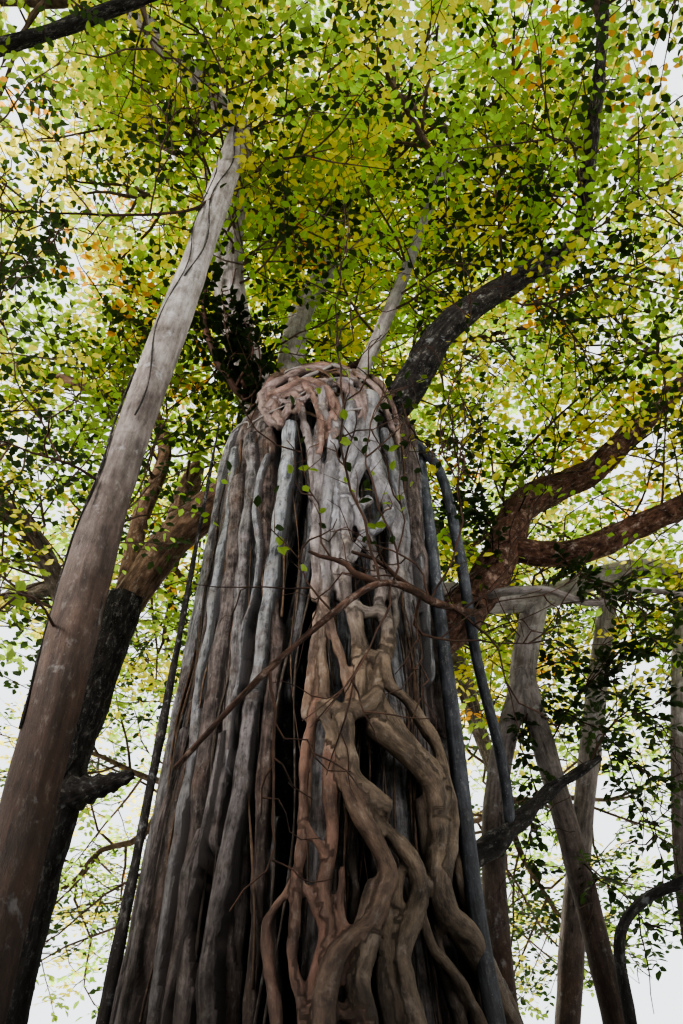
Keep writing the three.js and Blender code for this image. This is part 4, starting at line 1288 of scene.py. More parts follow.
thinKnots = [mm(-1560, -930, -350), mm(-1400, -900, 3500), mm(-1330, -760, 9300)]
addLimb("thin_root", thinKnots, (52, 44), "dark")
slateKnots = [mm(1460, -1270, 1000), mm(1220, -1010, 2900), mm(1190, -790, 5400), mm(1190, -600, 7600)]
addLimb("slate_root", [mm(1740, -1520, -350), *slateKnots, mm(1190, -410, 9300)], (75, 65), "slate")
brokenKnots = [mm(850, 300, 4050), mm(1720, 600, 4640), mm(2420, 800, 5260), mm(2980, 800, 5600)]
addLimb("broken_limb", brokenKnots, (135, 75), "dark")
hangingKnots = [mm(1376, -550, 8690), mm(1544, -300, 7670), mm(1660, 100, 6410), mm(1850, 480, 5350)]
hangingKnots = [mm(1040, -500, 9350), *hangingKnots, limbPoint("broken_limb", 0.48)]
addLimb("hanging_root", hangingKnots, (66, 58), "slate")
curvedKnots = [mm(2600, 500, -350), mm(2600, 500, 3100), mm(2680, 490, 3780), mm(2960, 450, 4050)]
curvedKnots = [*curvedKnots, mm(3600, 200, 4250), mm(5200, -200, 5300), limbPoint("bough_low_8", 0.8)]
addLimb("curved_root", curvedKnots, (58, 40), "dark")
addLimb("burl", [mm(-2600, 560, 5050), mm(-2250, 480, 5130), mm(-1900, 430, 5230)], (190, 110), "dark")
frontKnots = [mm(1750, -100, 6850), mm(1080, -1400, 5990), mm(480, -2300, 5500), mm(-30, -2350, 5010)]
frontKnots = [limbPoint("bough_middle_1", 0.28), *frontKnots, mm(-440, -2350, 4540), mm(-930, -2100, 4070)]
addLimb("front_branch", frontKnots, (52, 18), "red")
cornerKnots = [mm(-3480, -4750, 9100), mm(-2210, -5080, 9600), mm(-790, -5440, 10000)]
addLimb("low_left_branch", [limbPoint("bough_low_6", 0.55), *cornerKnots], (110, 50), "dark")
slimKnots = [mm(2160, 400, 7530), mm(2640, 300, 7480), mm(3120, 250, 7250), mm(3690, 200, 7400)]
addLimb("slim_limb", [limbPoint("bough_middle_1", 0.27), *slimKnots, mm(4200, 100, 7250)], (62, 28), "pale")


# How much the broken wood tapers
brokenEnds = {"burl": 0.55, "broken_limb": 0.45, "thin_root": 0.75}


def flareAt(limb, shares):
    return limb["flare"] * np.exp(-shares * limb["curve"]["length"] / stemFlareHeight)


# One limb's wood with relief. A bough runs on as its mass's stem.
def buildLimb(name, limb):
    look = barkLooks[limb["bark"]]
    curve = limb["curve"]
    spacing = max(0.03, min(0.06, 0.28 * limb["thick"][1]))
    count = max(8, int(curve["length"] / spacing))
    shares = np.linspace(0, 1, count + 1)
    points = pointsAt(curve, shares)
    radii = blend(limb["thick"][0], limb["thick"][1], shares)
    radii = radii + flareAt(limb, shares)
    seed = sum(map(ord, name))
    radii = radii * (1 + 0.05 * np.sin(shares * curve["length"] * 2.1 + seed))
    if name in brokenEnds:
        radii = radii * (1 - brokenEnds[name] * shares**2) * (1 + 0.12 * np.sin(shares * 37))
    if name.startswith("bough_"):
        mass = masses[name[6:]]
        stemLength = mass["stemLength"]
        steps = max(6, int(stemLength / 0.07))
        extra = np.linspace(0, 1, steps + 1)[1:]
        wave = np.sin(extra * 5 + seed)[:, None] * 0.05 * extra[:, None]
        side = sideAxes(mass["heading"])[0]
        stem = mass["tip"] + mass["heading"] * stemLength * extra[:, None] + wave * side
        points = np.concatenate([points, stem])
        radii = np.concatenate([radii, limb["thick"][1] * (1 - 0.72 * extra)])
    sides = int(min(44, max(9, 2 * math.pi * limb["thick"][0] / 0.035)))
    scale = min(1.0, limb["thick"][0] / 0.2)
    verts, faces, grain = tube(points, radii, sides)
    obj = meshObject(name + "_wood", verts, faces, grain=grain)
    values = {
        "Fibre Depth": look["fibreDepth"] * scale, "Fibre Scale": look["reliefScale"],
        "Knob Depth": look["knobDepth"] * scale, "Knob Scale": 2.2,
        "Stretch": look["stretch"] * 1.6, "Seed": float(seed % 97), "Bark": barks[limb["bark"]],
    }
    addRelief(obj, values, "dark_bark" if name == "stem_link" else look["slot"], name)


def buildLimbs():
    for name, limb in limbs.items():
        buildLimb(name, limb)
    print("limbs made", len(limbs))


# The right prop stands on two legs that part under its fork.
def propLegs():
    fork = mm(2670, 2150, 7500)
    outer = [mm(3050, 2150, -350), mm(2920, 2150, 4500), fork]
    return outer, [mm(1900, 2300, -350), mm(2020, 2250, 5500), fork]


def buildProp():
    head = limbPoint("bough_low_1", 0.42)
    tubes, lines = [], []
    for knots in propLegs():
        curve = curveThrough(knots)
        shares = np.linspace(0, 1, 90)
        points = pointsAt(curve, shares)
        tubes.append(tube(points, 0.125 + 0.025 * shares + 0.07 * np.exp(-9 * shares), 20))
        lines.append(points)
    fork = propLegs()[0][2]
    curve = curveThrough([fork - np.array((0.02, 0, 0.25)), fork, head])
    points = pointsAt(curve, np.linspace(0, 1, 30))
    tubes.append(tube(points, 0.18, 20))
    lines.append(points)
    obj = grownTogether("right_prop_wood", tubes, 0.022, 0.5, 3, 60000)
    setAttributes(obj.data, {"grain": grainOf(vertsOf(obj.data), lines)[0]})
    values = {
        "Fibre Depth": 0.01, "Fibre Scale": 9.0, "Stretch": 0.3, "Knob Depth": 0.04, "Bark": barks["pale"],
    }
    addRelief(obj, values, "pale_bark", "right_prop")


# Thin roots

# How many thin roots hang down the trunk, tangle round the collar and climb a pillar or a stem, with their
# radii and places
thinRoots = {
    "hanging": 84, "hangingRadius": (0.006, 0.016), "hangingTop": (4.5, 10.2), "hangingLength": (1.5, 7.0),
    "hangingAngle": (-174, -6),
    "tangle": 34, "tangleRadius": (0.01, 0.03), "tangleHeight": (8.9, 10.0), "tangleAngle": (-138, -48),
    "climbing": {"left_pillar": 6, "second_stem": 9, "bough_middle_1": 4},
    "climbingRadius": (0.005, 0.009), "climbingGap": 0.008,
}


def hangingRoot(index):
    top = blend(*thinRoots["hangingTop"], chance(index, 101))
    foot = max(0.05, top - blend(*thinRoots["hangingLength"], chance(index, 102)))
    heights = np.linspace(top, foot, max(8, int((top - foot) / 0.12)))
    down = (top - heights) / 3
    start = math.radians(blend(*thinRoots["hangingAngle"], chance(index, 103)))
    angle = start + (chance(index, 104) - 0.5) * 0.3 * down + 0.035 * np.sin(heights * 2.3 + index)
    out = -0.04 + 0.05 * chance(index, 105) + 0.02 * np.sin(heights * 4.1 + 2 * index)
    points = np.array([onSkin(a, h, o) for a, h, o in zip(angle, heights, out)])
    return points, blend(*thinRoots["hangingRadius"], chance(index, 106) ** 2)


def tangledRoot(index):
    low, high = thinRoots["tangleHeight"]
    first, last = (math.radians(angle) for angle in thinRoots["tangleAngle"])
    share = np.linspace(0, 1, 30)
    start = blend(first, last, chance(index, 111))
    angle = start + (chance(index, 112) - 0.5) * 1.3 * share + 0.05 * np.sin(9 * share + index)
    rise = blend(low, high, chance(index, 113)) + (chance(index, 114) - 0.6) * 0.9 * share
    rise = rise + 0.09 * np.sin(7 * share + 3 * index)
    out = 0.04 + 0.12 * chance(index, 115) + 0.05 * np.sin(6 * share + index)
    points = np.array([onSkin(a, h, o) for a, h, o in zip(angle, rise, out)])
    return points, blend(*thinRoots["tangleRadius"], chance(index, 116) ** 2)


def climbingRoot(limbName, index):
    limb = limbs[limbName]
    seed = index + len(limbName)
    first = 0.75 * chance(seed, 121)
    shares = np.linspace(first, min(0.97, first + blend(0.15, 0.6, chance(seed, 122))), 70)
    points = pointsAt(limb["curve"], shares)
    _, normals, binormals = frameRings(points)
    turn = anyTurn(seed, 123) + 5 * (chance(seed, 124) - 0.5) * (shares - first)
    turn = turn + 0.35 * np.sin(shares * 40 + seed)
    radius = blend(*limb["thick"], shares) + flareAt(limb, shares)
    side = normals * np.cos(turn)[:, None] + binormals * np.sin(turn)[:, None]
    line = points + side * (radius + thinRoots["climbingGap"])[:, None]
    return line, blend(*thinRoots["climbingRadius"], chance(seed, 125))


def buildThinRoots():
    hanging = [hangingRoot(index) for index in range(thinRoots["hanging"])]
    tangled = [tangledRoot(index) for index in range(thinRoots["tangle"])]
    pieces = {
        "thin_roots_brown": ("brown", "trunk", hanging[::2] + tangled[::3]),
        "thin_roots_grey": ("grey", "trunk", hanging[1::2]),
        "tangled_roots": ("pale", "root_lattice", tangled[1::3] + tangled[2::3]),
    }
    for limbName, count in thinRoots["climbing"].items():
        roots = [climbingRoot(limbName, index) for index in range(count)]
        pieces[f"climbing_roots_{limbName}"] = ("dark", limbName, roots)
    for name, (bark, node, roots) in pieces.items():
        tubes = []
        for points, radius in roots:
            uneven = 1 + 0.25 * np.sin(np.arange(len(points)) * 0.9)
            tubes.append(tube(points, radius * uneven, 6))
        verts, faces = joined(tubes)
        obj = meshObject(name, verts, faces, grain=np.concatenate([grain for _, _, grain in tubes]))
        obj.data.materials.append(barks[bark])
        obj.data.polygons.foreach_set("use_smooth", [True] * len(faces))
        putVerts(obj.data, vertsOf(obj.data))
        finishPiece(obj, barkLooks[bark]["slot"], node)
        print(name, "faces", len(faces))


# Crown

# Twigs bear branches, branches bear sprays, and sprays bear tips with leaves. Leaves have their full length
# from fullFrom metres before the eye, are smaller nearer by, and stand closer together within fineWithin.
growth = {
    "twigs": 5, "reach": 0.6,
    "branches": 8, "branchLongest": 2.9,
    "sprays": 8, "sprayLongest": 1.15,
    "tips": 5, "tipLongest": 0.5,
    "leafLength": 0.137, "fullFrom": 12, "fineWithin": 8.5, "smallest": 0.5,
    "leaves": {"plain": 6, "fine": 8, "single": 2},
    "clear": 0.1, "open": 9.0,
    "shootSpacing": 0.36, "shootLength": (0.9, 2.0), "droops": 6, "droopLength": (1.6, 2.6),
    "shootStart": {"low_5": 0.14, "low_6": 0.1, "middle_6": 0.5, "middle_5": 0.45},
    "coverShoots": {"middle_6": 6, "middle_5": 8, "middle_4": 6, "low_4": 6, "low_5": 15, "low_6": 9},
}

# What has grown, by the part of the crown: twigs, fine twigs, and tips that bear leaves
wood = {"low": [], "upper": [], "front": [], "wiry": []}
fine = {"low": [], "upper": []}
tips = []


# The middle lines of all limbs, to keep leaves off them.
def limbFinder():
    tree = KDTree(sum(len(limb["curve"]["points"]) for limb in limbs.values()))
    thick = []
    for limb in limbs.values():
        for point in limb["curve"]["points"]:
            tree.insert(point, len(thick))
            thick.append(max(limb["thick"]))
    tree.balance()
    return tree, thick


limbTree, limbThick = limbFinder()


def nearLimb(point, clear):
    _, near, apart = limbTree.find(point)
    return apart < limbThick[near] + clear


# A line of points from a base along a heading, with a slight bend and some lift towards its end.
def twigLine(base, heading, length, segments, seed, bend, lift):
    flat, across = sideAxes(heading)
    share = np.linspace(0, 1, segments + 1)[:, None]
    side = flat * (chance(seed, 51) - 0.5) * 2 + across * (chance(seed, 52) - 0.5) * 2
    kink = np.sin(share * math.pi * (1.5 + 2 * chance(seed, 53))) * bend * length
    return base + heading * length * share + side * kink + up * lift * length * share**2


def growCrown():
    for mass in masses.values():
        part = "low" if mass["name"].startswith("low") else "upper"
        for index in range(growth["twigs"]):
            forward = blend(-0.45, 0.95, (index + 0.5) / growth["twigs"])
            side = index * goldenAngle + anyTurn(mass["seed"], 20)
            heading = forked(mass["heading"], math.acos(forward), side)
            place = 0.35 + 0.6 * index / growth["twigs"]
            base = mass["tip"] + mass["heading"] * mass["stemLength"] * place
            end = mass["middle"] + heading * growth["reach"] * roomTowards(mass, mass["middle"], heading)
            seed = mass["seed"] + 0.1 * (index + 1)
            length = float(np.linalg.norm(end - base))
            twig = twigLine(base, unit(end - base), length, 8, seed, 0.04, 0.0)
            wood[part].append((twig, 0.075, 0.032))
            growBranches(mass, part, twig, seed)
        growShoots(mass, part)


def alongLine(line, share):
    place = share * (len(line) - 1)
    first = min(int(place), len(line) - 2)
    heading = unit(line[first + 1] - line[first])
    return blend(line[first], line[first + 1], place - first), heading


def growBranches(mass, part, twig, seed):
    for index in range(growth["branches"]):
        share = blend(0.25, 1.0, (index + 0.5 * chance(seed, 60 + index)) / (growth["branches"] - 0.5))
        share = min(1.0, share)
        base, heading = alongLine(twig, share)
        branchSeed = seed + 0.01 * (index + 1)
        fork = 0.25 if index == growth["branches"] - 1 else 0.75 + 0.5 * chance(branchSeed, 61)
        direction = forked(heading, fork, index * goldenAngle + anyTurn(seed, 62))
        room = roomTowards(mass, base, direction)
        length = min(growth["branchLongest"], 0.97 * room)
        if length < 0.35:
            continue
        branch = twigLine(base, direction, length, 6, branchSeed, 0.05, 0.06 if room > length else 0.0)
        wood[part].append((branch, 0.03, 0.011))
        growSprays(mass, part, branch, length, branchSeed, True)


# Leafy shoots on the outer part of a mass's bough, and shoots that droop from the low boughs on the right
def growShoots(mass, part):
    curve = limbs[f"bough_{mass['name']}"]["curve"]
    cover = growth["coverShoots"].get(mass["name"], 0)
    count = int(0.66 * curve["length"] / growth["shootSpacing"]) + cover
    droops = growth["droops"] if mass["name"] in ("low_1", "low_8") else 0
    for index in range(count + droops):
        seed = mass["seed"] + 0.371 + 0.013 * index
        drooping = index >= count
        share = chance(seed, 91) if drooping else (index + chance(seed, 91)) / count
        share = blend(growth["shootStart"].get(mass["name"], 0.32), 0.98, share)
        base, ahead = pointsAt(curve, share), pointsAt(curve, share + 0.02)
        side = index * goldenAngle + anyTurn(seed, 93)
        direction = forked(unit(ahead - base), 0.8 + 0.6 * chance(seed, 92), side)
        shortest, longest = growth["droopLength" if drooping else "shootLength"]
        length = blend(shortest, longest, chance(seed, 94))
        if drooping:
            direction[2] = -1.3
        if index % 2 and cover:
            direction = direction + 1.2 * unit(view["place"] - base)
        direction = unit(direction * (1, 1, 0.8))
        shoot = twigLine(base, direction, length, 5, seed, 0.07, 0.0 if drooping else 0.1)
        if nearLimb(shoot[-1], growth["clear"]):
            continue
        wood[part].append((shoot, 0.02, 0.008))
        growSprays(mass, part, shoot, length, seed, False)


def growSprays(mass, part, branch, branchLength, seed, inMass):
    def roomFor(base, way):
        return roomTowards(mass, base, way) if inMass else growth["open"]

    count = max(3, int(round(growth["sprays"] * min(1, branchLength / 2.2))))
    for index in range(count):
        share = min(1.0, blend(0.2, 1.0, (index + 0.6 * chance(seed, 70 + index)) / (count - 0.4)))
        base, heading = alongLine(branch, share)
        spraySeed = seed + 0.001 * (index + 1)
        fork = 0.3 if index == count - 1 else 0.7 + 0.6 * chance(spraySeed, 71)
        direction = forked(heading, fork, index * goldenAngle + anyTurn(seed, 72))
        direction = unit(direction * (1, 1, 0.7))
        room = roomFor(base, direction)
        length = min(growth["sprayLongest"] * (0.7 + 0.5 * chance(spraySeed, 73)), 0.94 * room)
        if length < 0.2:
            continue
        spray = twigLine(base, direction, length, 3, spraySeed, 0.06, 0.05)
        if nearLimb(spray[2], growth["clear"]):
            continue
        fine[part].append((spray, 0.013, 0.006))
        tint = tintOf(mass, base, spraySeed)
        tipCount = max(2, int(round(growth["tips"] * min(1, length / 0.8))))
        for tip in range(tipCount):
            place = min(1.0, blend(0.25, 1.0, (tip + 0.5 * chance(spraySeed, 80 + tip)) / (tipCount - 0.5)))
            start, ahead = alongLine(spray, place)
            tipSeed = spraySeed + 0.0001 * (tip + 1)
            turn = 0.2 if tip == tipCount - 1 else 0.8 + 0.3 * chance(tipSeed, 81)
            aim = forked(ahead, turn, math.pi * (tip % 2) + 0.9 * (chance(tipSeed, 82) - 0.5))
            reach = min(growth["tipLongest"] * (0.7 + 0.5 * chance(tipSeed, 83)), 0.9 * roomFor(start, aim))
            if reach >= 0.12:
                isNear = float(np.linalg.norm(start - view["place"])) < growth["fineWithin"]
                tips.append((start, start + aim * reach, tint, part, "fine" if isNear else "plain"))


# Slim twigs before the trunk and at the picture's edges. Each starts on the limb or twig that bears it and
# then follows its places in the picture: its bearer, its y at both ends, its radius at both ends, its tint
# and its line.
nearTwigs = {
    "risingShoot": ("front_branch", (-2.3, -3.6), (0.012, 0.004), "middle", [
        (377, 580), (364, 521), (353, 493), (343, 463), (341, 437), (343, 404), (338, 350), (336, 310),
        (343, 260), (345, 205)]),
    "forkArm": ("front_branch", (-2.3, -2.4), (0.034, 0.012), "bare", [
        (377, 581), (360, 575), (345, 564), (328, 558), (309, 551)]),
    "upperArm": ("front_branch", (-1.2, -2.0), (0.034, 0.014), "bare", [
        (459, 612), (436, 602), (412, 588), (392, 572), (368, 556), (352, 552)]),
    "forkTip": ("forkArm", (-2.3, -2.9), (0.008, 0.003), "middle", [
        (332, 560), (322, 540), (318, 505), (306, 480), (300, 450)]),
    "hangingTwig": ("front_branch", (-2.35, -2.1), (0.012, 0.005), "bare", [
        (272, 672), (275, 737), (272, 776), (272, 860), (256, 880), (242, 892), (230, 911)]),
    "hangingFork": ("hangingTwig", (-2.2, -2.2), (0.007, 0.003), "bare", [
        (272, 860), (293, 871), (314, 883), (334, 878)]),
    "crossTwig": ("front_branch", (-1.7, -0.6), (0.014, 0.005), "bare", [
        (402, 596), (414, 622), (427, 636), (450, 640), (480, 641), (520, 644), (548, 640)]),
    "downTwig": ("crossTwig", (-1.7, -1.9), (0.008, 0.004), "bare", [
        (427, 636), (421, 660), (410, 676), (400, 690), (386, 694)]),
    "nearShoot": ("front_branch", (-2.2, -2.9), (0.01, 0.004), "middle", [
        (403, 588), (400, 560), (386, 525), (374, 490), (366, 455), (372, 420), (384, 385), (380, 350)]),
    "rightShoot": ("front_branch", (-1.6, -2.4), (0.011, 0.004), "sunny", [
        (440, 600), (452, 560), (462, 520), (455, 480), (440, 440), (448, 400), (462, 360), (470, 310),
        (462, 260)]),
    "wiryRight": ("bough_middle_1", (0.6, -0.9), (0.022, 0.008), "middle", [
        (508, 520), (505, 480), (525, 450), (545, 430), (565, 410), (585, 392), (607, 366), (625, 330)]),
    "wiryTip": ("wiryRight", (-0.9, -1.8), (0.01, 0.004), "sunny", [
        (624, 332), (630, 290), (632, 250), (640, 200), (652, 150), (650, 110)]),
    "wirySide": ("wiryRight", (0.0, -1.0), (0.01, 0.004), "middle", [
        (548, 428), (562, 385), (556, 340), (535, 305), (520, 262)]),
    "wiryLow": ("wiryRight", (0.2, -0.6), (0.01, 0.004), "sunny", [
        (566, 410), (590, 418), (622, 412), (650, 420), (683, 416)]),
    "darkSide": ("bough_middle_6", (-1.6, -2.6), (0.014, 0.005), "lime", [
        (520, 280), (536, 230), (556, 190), (590, 150), (606, 95), (600, 50)]),
    "darkSecond": ("bough_middle_6", (-1.2, -2.3), (0.012, 0.004), "sunny", [
        (452, 322), (462, 280), (458, 235), (440, 190), (425, 150), (430, 100)]),
    "leftReach": ("left_pillar", (-3.23, -4.3), (0.02, 0.007), "middle", [
        (228, 190), (190, 210), (130, 215), (60, 213), (0, 210), (-40, 203)]),
    "leftReachUp": ("leftReach", (-3.6, -4.3), (0.01, 0.004), "sunny", [
        (150, 214), (156, 180), (172, 150), (166, 115), (180, 80)]),
    "leftReachSide": ("leftReach", (-3.8, -4.3), (0.009, 0.004), "middle", [
        (95, 214), (70, 185), (62, 150), (40, 120), (38, 90)]),
    "leftReachDown": ("leftReach", (-3.9, -4.3), (0.008, 0.004), "deep", [
        (60, 213), (50, 240), (30, 262), (6, 280)]),
    "leftLeafy": ("left_pillar", (-3.23, -4.2), (0.012, 0.004), "deep", [
        (112, 492), (85, 470), (60, 462), (28, 450), (0, 442), (-30, 436)]),
    "leftLeafyUp": ("leftLeafy", (-3.6, -4.1), (0.008, 0.003), "deep", [
        (60, 462), (44, 425), (26, 400), (12, 360), (6, 325)]),
    "leftLow": ("left_pillar", (-3.23, -4.0), (0.01, 0.004), "middle", [
        (72, 640), (50, 618), (34, 600), (14, 592), (-12, 600)]),
    "sprout": ("bough_middle_5", (-0.5, -1.5), (0.012, 0.005), "middle", [
        (262, 398), (246, 372), (238, 345), (226, 322), (222, 290)]),
    "sproutRight": ("bough_middle_6", (-0.5, -1.6), (0.012, 0.005), "sunny", [
        (400, 400), (412, 430), (430, 445), (450, 440), (474, 452)]),
    "kneeLeafy": ("bough_middle_1", (0.6, -0.4), (0.012, 0.005), "deep", [
        (500, 560), (492, 532), (480, 512), (462, 500), (450, 512)]),
    "frontTangleA": ("front_branch", (-1.2, -1.0), (0.013, 0.004), "bare", [
        (455, 602), (470, 620), (486, 634), (500, 655), (508, 690), (520, 730)]),
    "frontTangleB": ("front_branch", (-1.0, -0.6), (0.012, 0.004), "bare", [
        (470, 600), (492, 590), (506, 575), (512, 545), (530, 520), (545, 488)]),
    "frontTangleC": ("front_branch", (-1.6, -1.5), (0.011, 0.004), "bare", [
        (430, 592), (420, 570), (398, 552), (380, 548), (352, 530), (330, 532)]),
    "frontTangleD": ("front_branch", (-2.2, -2.6), (0.011, 0.003), "bare", [
        (390, 582), (388, 610), (372, 640), (360, 668), (330, 700), (300, 722)]),
    "frontTangleE": ("frontTangleC", (-1.55, -2.2), (0.008, 0.003), "middle", [
        (398, 552), (404, 520), (398, 480), (410, 445), (406, 410)]),
    "frontTangleF": ("crossTwig", (-1.3, -1.1), (0.009, 0.003), "bare", [
        (450, 640), (470, 615), (505, 600), (540, 596), (575, 580)]),
    "frontTangleG": ("front_branch", (-2.35, -2.8), (0.009, 0.003), "middle", [
        (330, 612), (312, 590), (300, 560), (280, 540), (262, 512)]),
    "kneeTangleA": ("bough_middle_1", (0.4, -0.2), (0.013, 0.004), "middle", [
        (512, 540), (495, 560), (474, 575), (470, 600), (455, 622)]),
    "kneeTangleB": ("bough_middle_1", (0.4, -0.8), (0.013, 0.004), "sunny", [
        (520, 500), (540, 470), (575, 440), (590, 400), (585, 350), (600, 300)]),
    "kneeTangleC": ("bough_low_8", (0.4, -0.6), (0.012, 0.004), "deep", [
        (560, 548), (590, 580), (620, 590), (650, 610), (683, 600)]),
    "shadeA": ("right_prop", (2.0, 1.4), (0.012, 0.004), "deep", [
        (540, 640), (566, 662), (600, 690), (632, 700), (668, 735)]),
    "shadeB": ("right_prop", (2.0, 1.0), (0.012, 0.004), "deep", [
        (552, 690), (580, 720), (606, 735), (640, 770), (683, 790)]),
    "shadeC": ("right_prop", (2.0, 1.6), (0.01, 0.004), "deep", [
        (505, 700), (520, 740), (536, 790), (530, 850), (546, 900)]),
    "shadeD": ("shadeA", (1.7, 0.8), (0.009, 0.003), "deep", [
        (600, 690), (612, 660), (640, 640), (670, 640), (700, 655)]),
    "shadeE": ("shadeB", (1.5, 0.8), (0.009, 0.003), "deep", [
        (606, 735), (616, 780), (640, 810), (660, 850), (672, 900)]),
    "shadeF": ("right_prop", (2.0, 1.2), (0.01, 0.004), "deep", [
        (585, 850), (600, 880), (630, 900), (650, 940)]),
    "knottedLimb": ("bough_middle_5", (-0.5, -1.5), (0.06, 0.022), "deep", [
        (262, 402), (246, 398), (232, 384), (218, 362), (208, 338), (204, 305), (208, 270)]),
    "knottedA": ("bough_middle_5", (-0.6, -1.3), (0.045, 0.014), "deep", [
        (266, 396), (252, 380), (242, 360), (236, 340), (240, 318)]),
    "knottedB": ("bough_middle_5", (-0.6, -1.2), (0.04, 0.012), "deep", [
        (264, 404), (248, 392), (236, 372), (228, 350), (232, 330), (224, 306)]),
    "knottedC": ("knottedLimb", (-0.8, -1.3), (0.026, 0.008), "deep", [
        (230, 392), (240, 378), (250, 362), (252, 340), (244, 322)]),
    "knottedD": ("knottedLimb", (-0.6, -1.5), (0.02, 0.007), "deep", [
        (240, 392), (246, 400), (256, 390), (262, 372), (258, 350), (264, 326)]),
    "collarStub": ("bough_top", (-0.5, -0.7), (0.065, 0.05), "bare", [
        (344, 376), (354, 366), (368, 356)]),
    "lowRight": ("broken_limb", (0.8, 0.2), (0.012, 0.005), "deep", [
        (590, 765), (604, 735), (626, 712), (650, 706), (676, 690)]),
    "lowRightUp": ("right_prop", (2.0, 1.2), (0.012, 0.005), "deep", [
        (560, 745), (575, 700), (600, 672), (622, 650), (640, 652)]),
}


def seenAt(across, down, y):
    ray = viewRay(across, down)
    return view["place"] + ray * (y - view["place"][1]) / ray[1]


# Thin bare side twigs along a near twig, each with one fork
wiry = {"spacing": 0.42, "length": (0.3, 1.1), "radius": (0.009, 0.0035), "forkShare": 0.55}


def growWiry(line, length, number):
    for index in range(int(length / wiry["spacing"])):
        seed = 500 + number + 0.01 * index
        base, heading = alongLine(line, blend(0.2, 1.0, chance(seed, 131)))
        for fork in range(2):
            aim = forked(heading, 0.5 + 0.6 * chance(seed, 132 + fork), anyTurn(seed, 134 + fork))
            reach = blend(*wiry["length"], chance(seed, 136 + fork)) * (1 - 0.4 * fork)
            twig = twigLine(base, aim, reach, 5, seed + fork, 0.12, 0.05)
            wood["wiry"].append((twig, *(radius * (1 - 0.25 * fork) for radius in wiry["radius"])))
            base, heading = alongLine(twig, wiry["forkShare"])


def growNearTwigs():
    lines = {name: limb["curve"]["points"] for name, limb in limbs.items()}
    lines["right_prop"] = curveThrough(propLegs()[0])["points"]
    for number, (name, (bearer, ys, radii, tint, places)) in enumerate(nearTwigs.items()):
        shares = np.linspace(0, 1, len(places))
        knots = [seenAt(*place, blend(ys[0], ys[1], share)) for place, share in zip(places, shares)]
        line = lines[bearer]
        knots[0] = line[int(np.argmin(np.linalg.norm(line - knots[0], axis=1)))]
        curve = curveThrough(knots)
        lines[name] = curve["points"]
        steps = max(6, int(curve["length"] / 0.14))
        wobble = 0.012 * np.sin(np.arange(steps + 1) * 1.9 + number)[:, None] * np.array((1.0, 0, 0.6))
        wobble[0] = 0
        points = pointsAt(curve, np.linspace(0, 1, steps + 1)) + wobble
        wood["front"].append((points, *radii))
        growWiry(points, curve["length"], number)
        if tint == "bare":
            continue
        count = int(curve["length"] / (0.1 if tint == "deep" else 0.17))
        for index in range(2, count + 1):
            seed = 300 + number + 0.01 * index
            base, heading = alongLine(points, index / count)
            turn = 0.1 if index == count else 0.7 + 0.5 * chance(seed, 95)
            aim = forked(heading, turn, index * goldenAngle)
            reach = blend(0.14, 0.42, chance(seed, 96))
            # Nearly half of these near leaves take the darkest green, as painted shade.
            ownTint = tint if chance(seed, 97) < 0.55 else "deep"
            kind = "fine" if tint == "deep" else "single"
            tips.append((base, base + aim * reach, ownTint, "upper", kind))


# Each spray has one tint. Painted light and shade: the lower right, and less so the left, take more of the
# darkest green, the top more of the sunny and lime greens.
def tintOf(mass, base, seed):
    pick = chance(seed, 90)
    shares = {name: green["share"] for name, green in leafGreens.items()}
    if mass["name"] in ("low_1", "low_2", "low_8") and base[2] < 7.6:
        shares["deep"] += 1.0
        shares["middle"] += 0.3
    elif mass["name"] in ("low_4", "low_5", "low_6", "middle_4"):
        shares["deep"] += 0.16
        shares["middle"] += 0.1
    elif base[2] > 13:
        shares["sunny"] += 0.2
        shares["lime"] += 0.2
    total = sum(shares.values())
    for name, share in shares.items():
        pick -= share / total
        if pick < 0:
            return name
    return "middle"


def buildWood(name, lines, sides, nodes, bark=twigBark):
    verts, edges, thick = [], [], []
    start = 0
    for line, first, last in lines:
        verts.append(line)
        edges += [(start + step, start + step + 1) for step in range(len(line) - 1)]
        thick.append(np.linspace(first, last, len(line)))
        start += len(line)
    obj = meshObject(name, np.concatenate(verts), [], edges, thick=np.concatenate(thick))
    runTree(obj, twigTree, {"Sides": sides, "Bark": bark}, name)
    finishPiece(obj, "foliage", *nodes)
    print(name, "faces", len(obj.data.polygons))


# A level direction across each heading
def levelAcross(headings):
    flat = np.cross(headings, up)
    return flat / np.maximum(np.linalg.norm(flat, axis=1), 1e-6)[:, None]


# The twig under the leaves of a tip is a slim spike of four triangles.
spikeRadius = 0.0055


def buildTipTwigs(name, part, nodes):
    starts = np.array([tip[0] for tip in tips if tip[3] == part])
    ends = np.array([tip[1] for tip in tips if tip[3] == part])
    heading = ends - starts
    heading /= np.linalg.norm(heading, axis=1)[:, None]
    flat = levelAcross(heading)
    spokes = spokesRound(flat, np.cross(flat, heading), 2 * math.pi * np.arange(3) / 3)
    verts = np.concatenate([starts[:, None] + spikeRadius * spokes, ends[:, None]], axis=1).reshape(-1, 3)
    corners = np.array([(0, 1, 2), (1, 0, 3), (2, 1, 3), (0, 2, 3)])
    faces = (4 * np.arange(len(starts))[:, None, None] + corners).reshape(-1, 3)
    obj = meshObject(name, verts, faces.tolist())
    obj.data.materials.append(twigBark)
    finishPiece(obj, "foliage", *nodes)
    print(name, "faces", len(faces))


# One leaf of four triangles, folded along its rib, pointing along +X.
def makeLeaf():
    right = [(0.36, 0.31, 0.07), (0.74, 0.22, 0.05)]
    left = [(0.74, -0.22, 0.05), (0.36, -0.31, 0.07)]
    outline = [(0, 0, 0), *right, (1, 0, -0.03), *left]
    return meshObject("leafShape", outline, [[0, 3, 2, 1], [0, 5, 4, 3]])


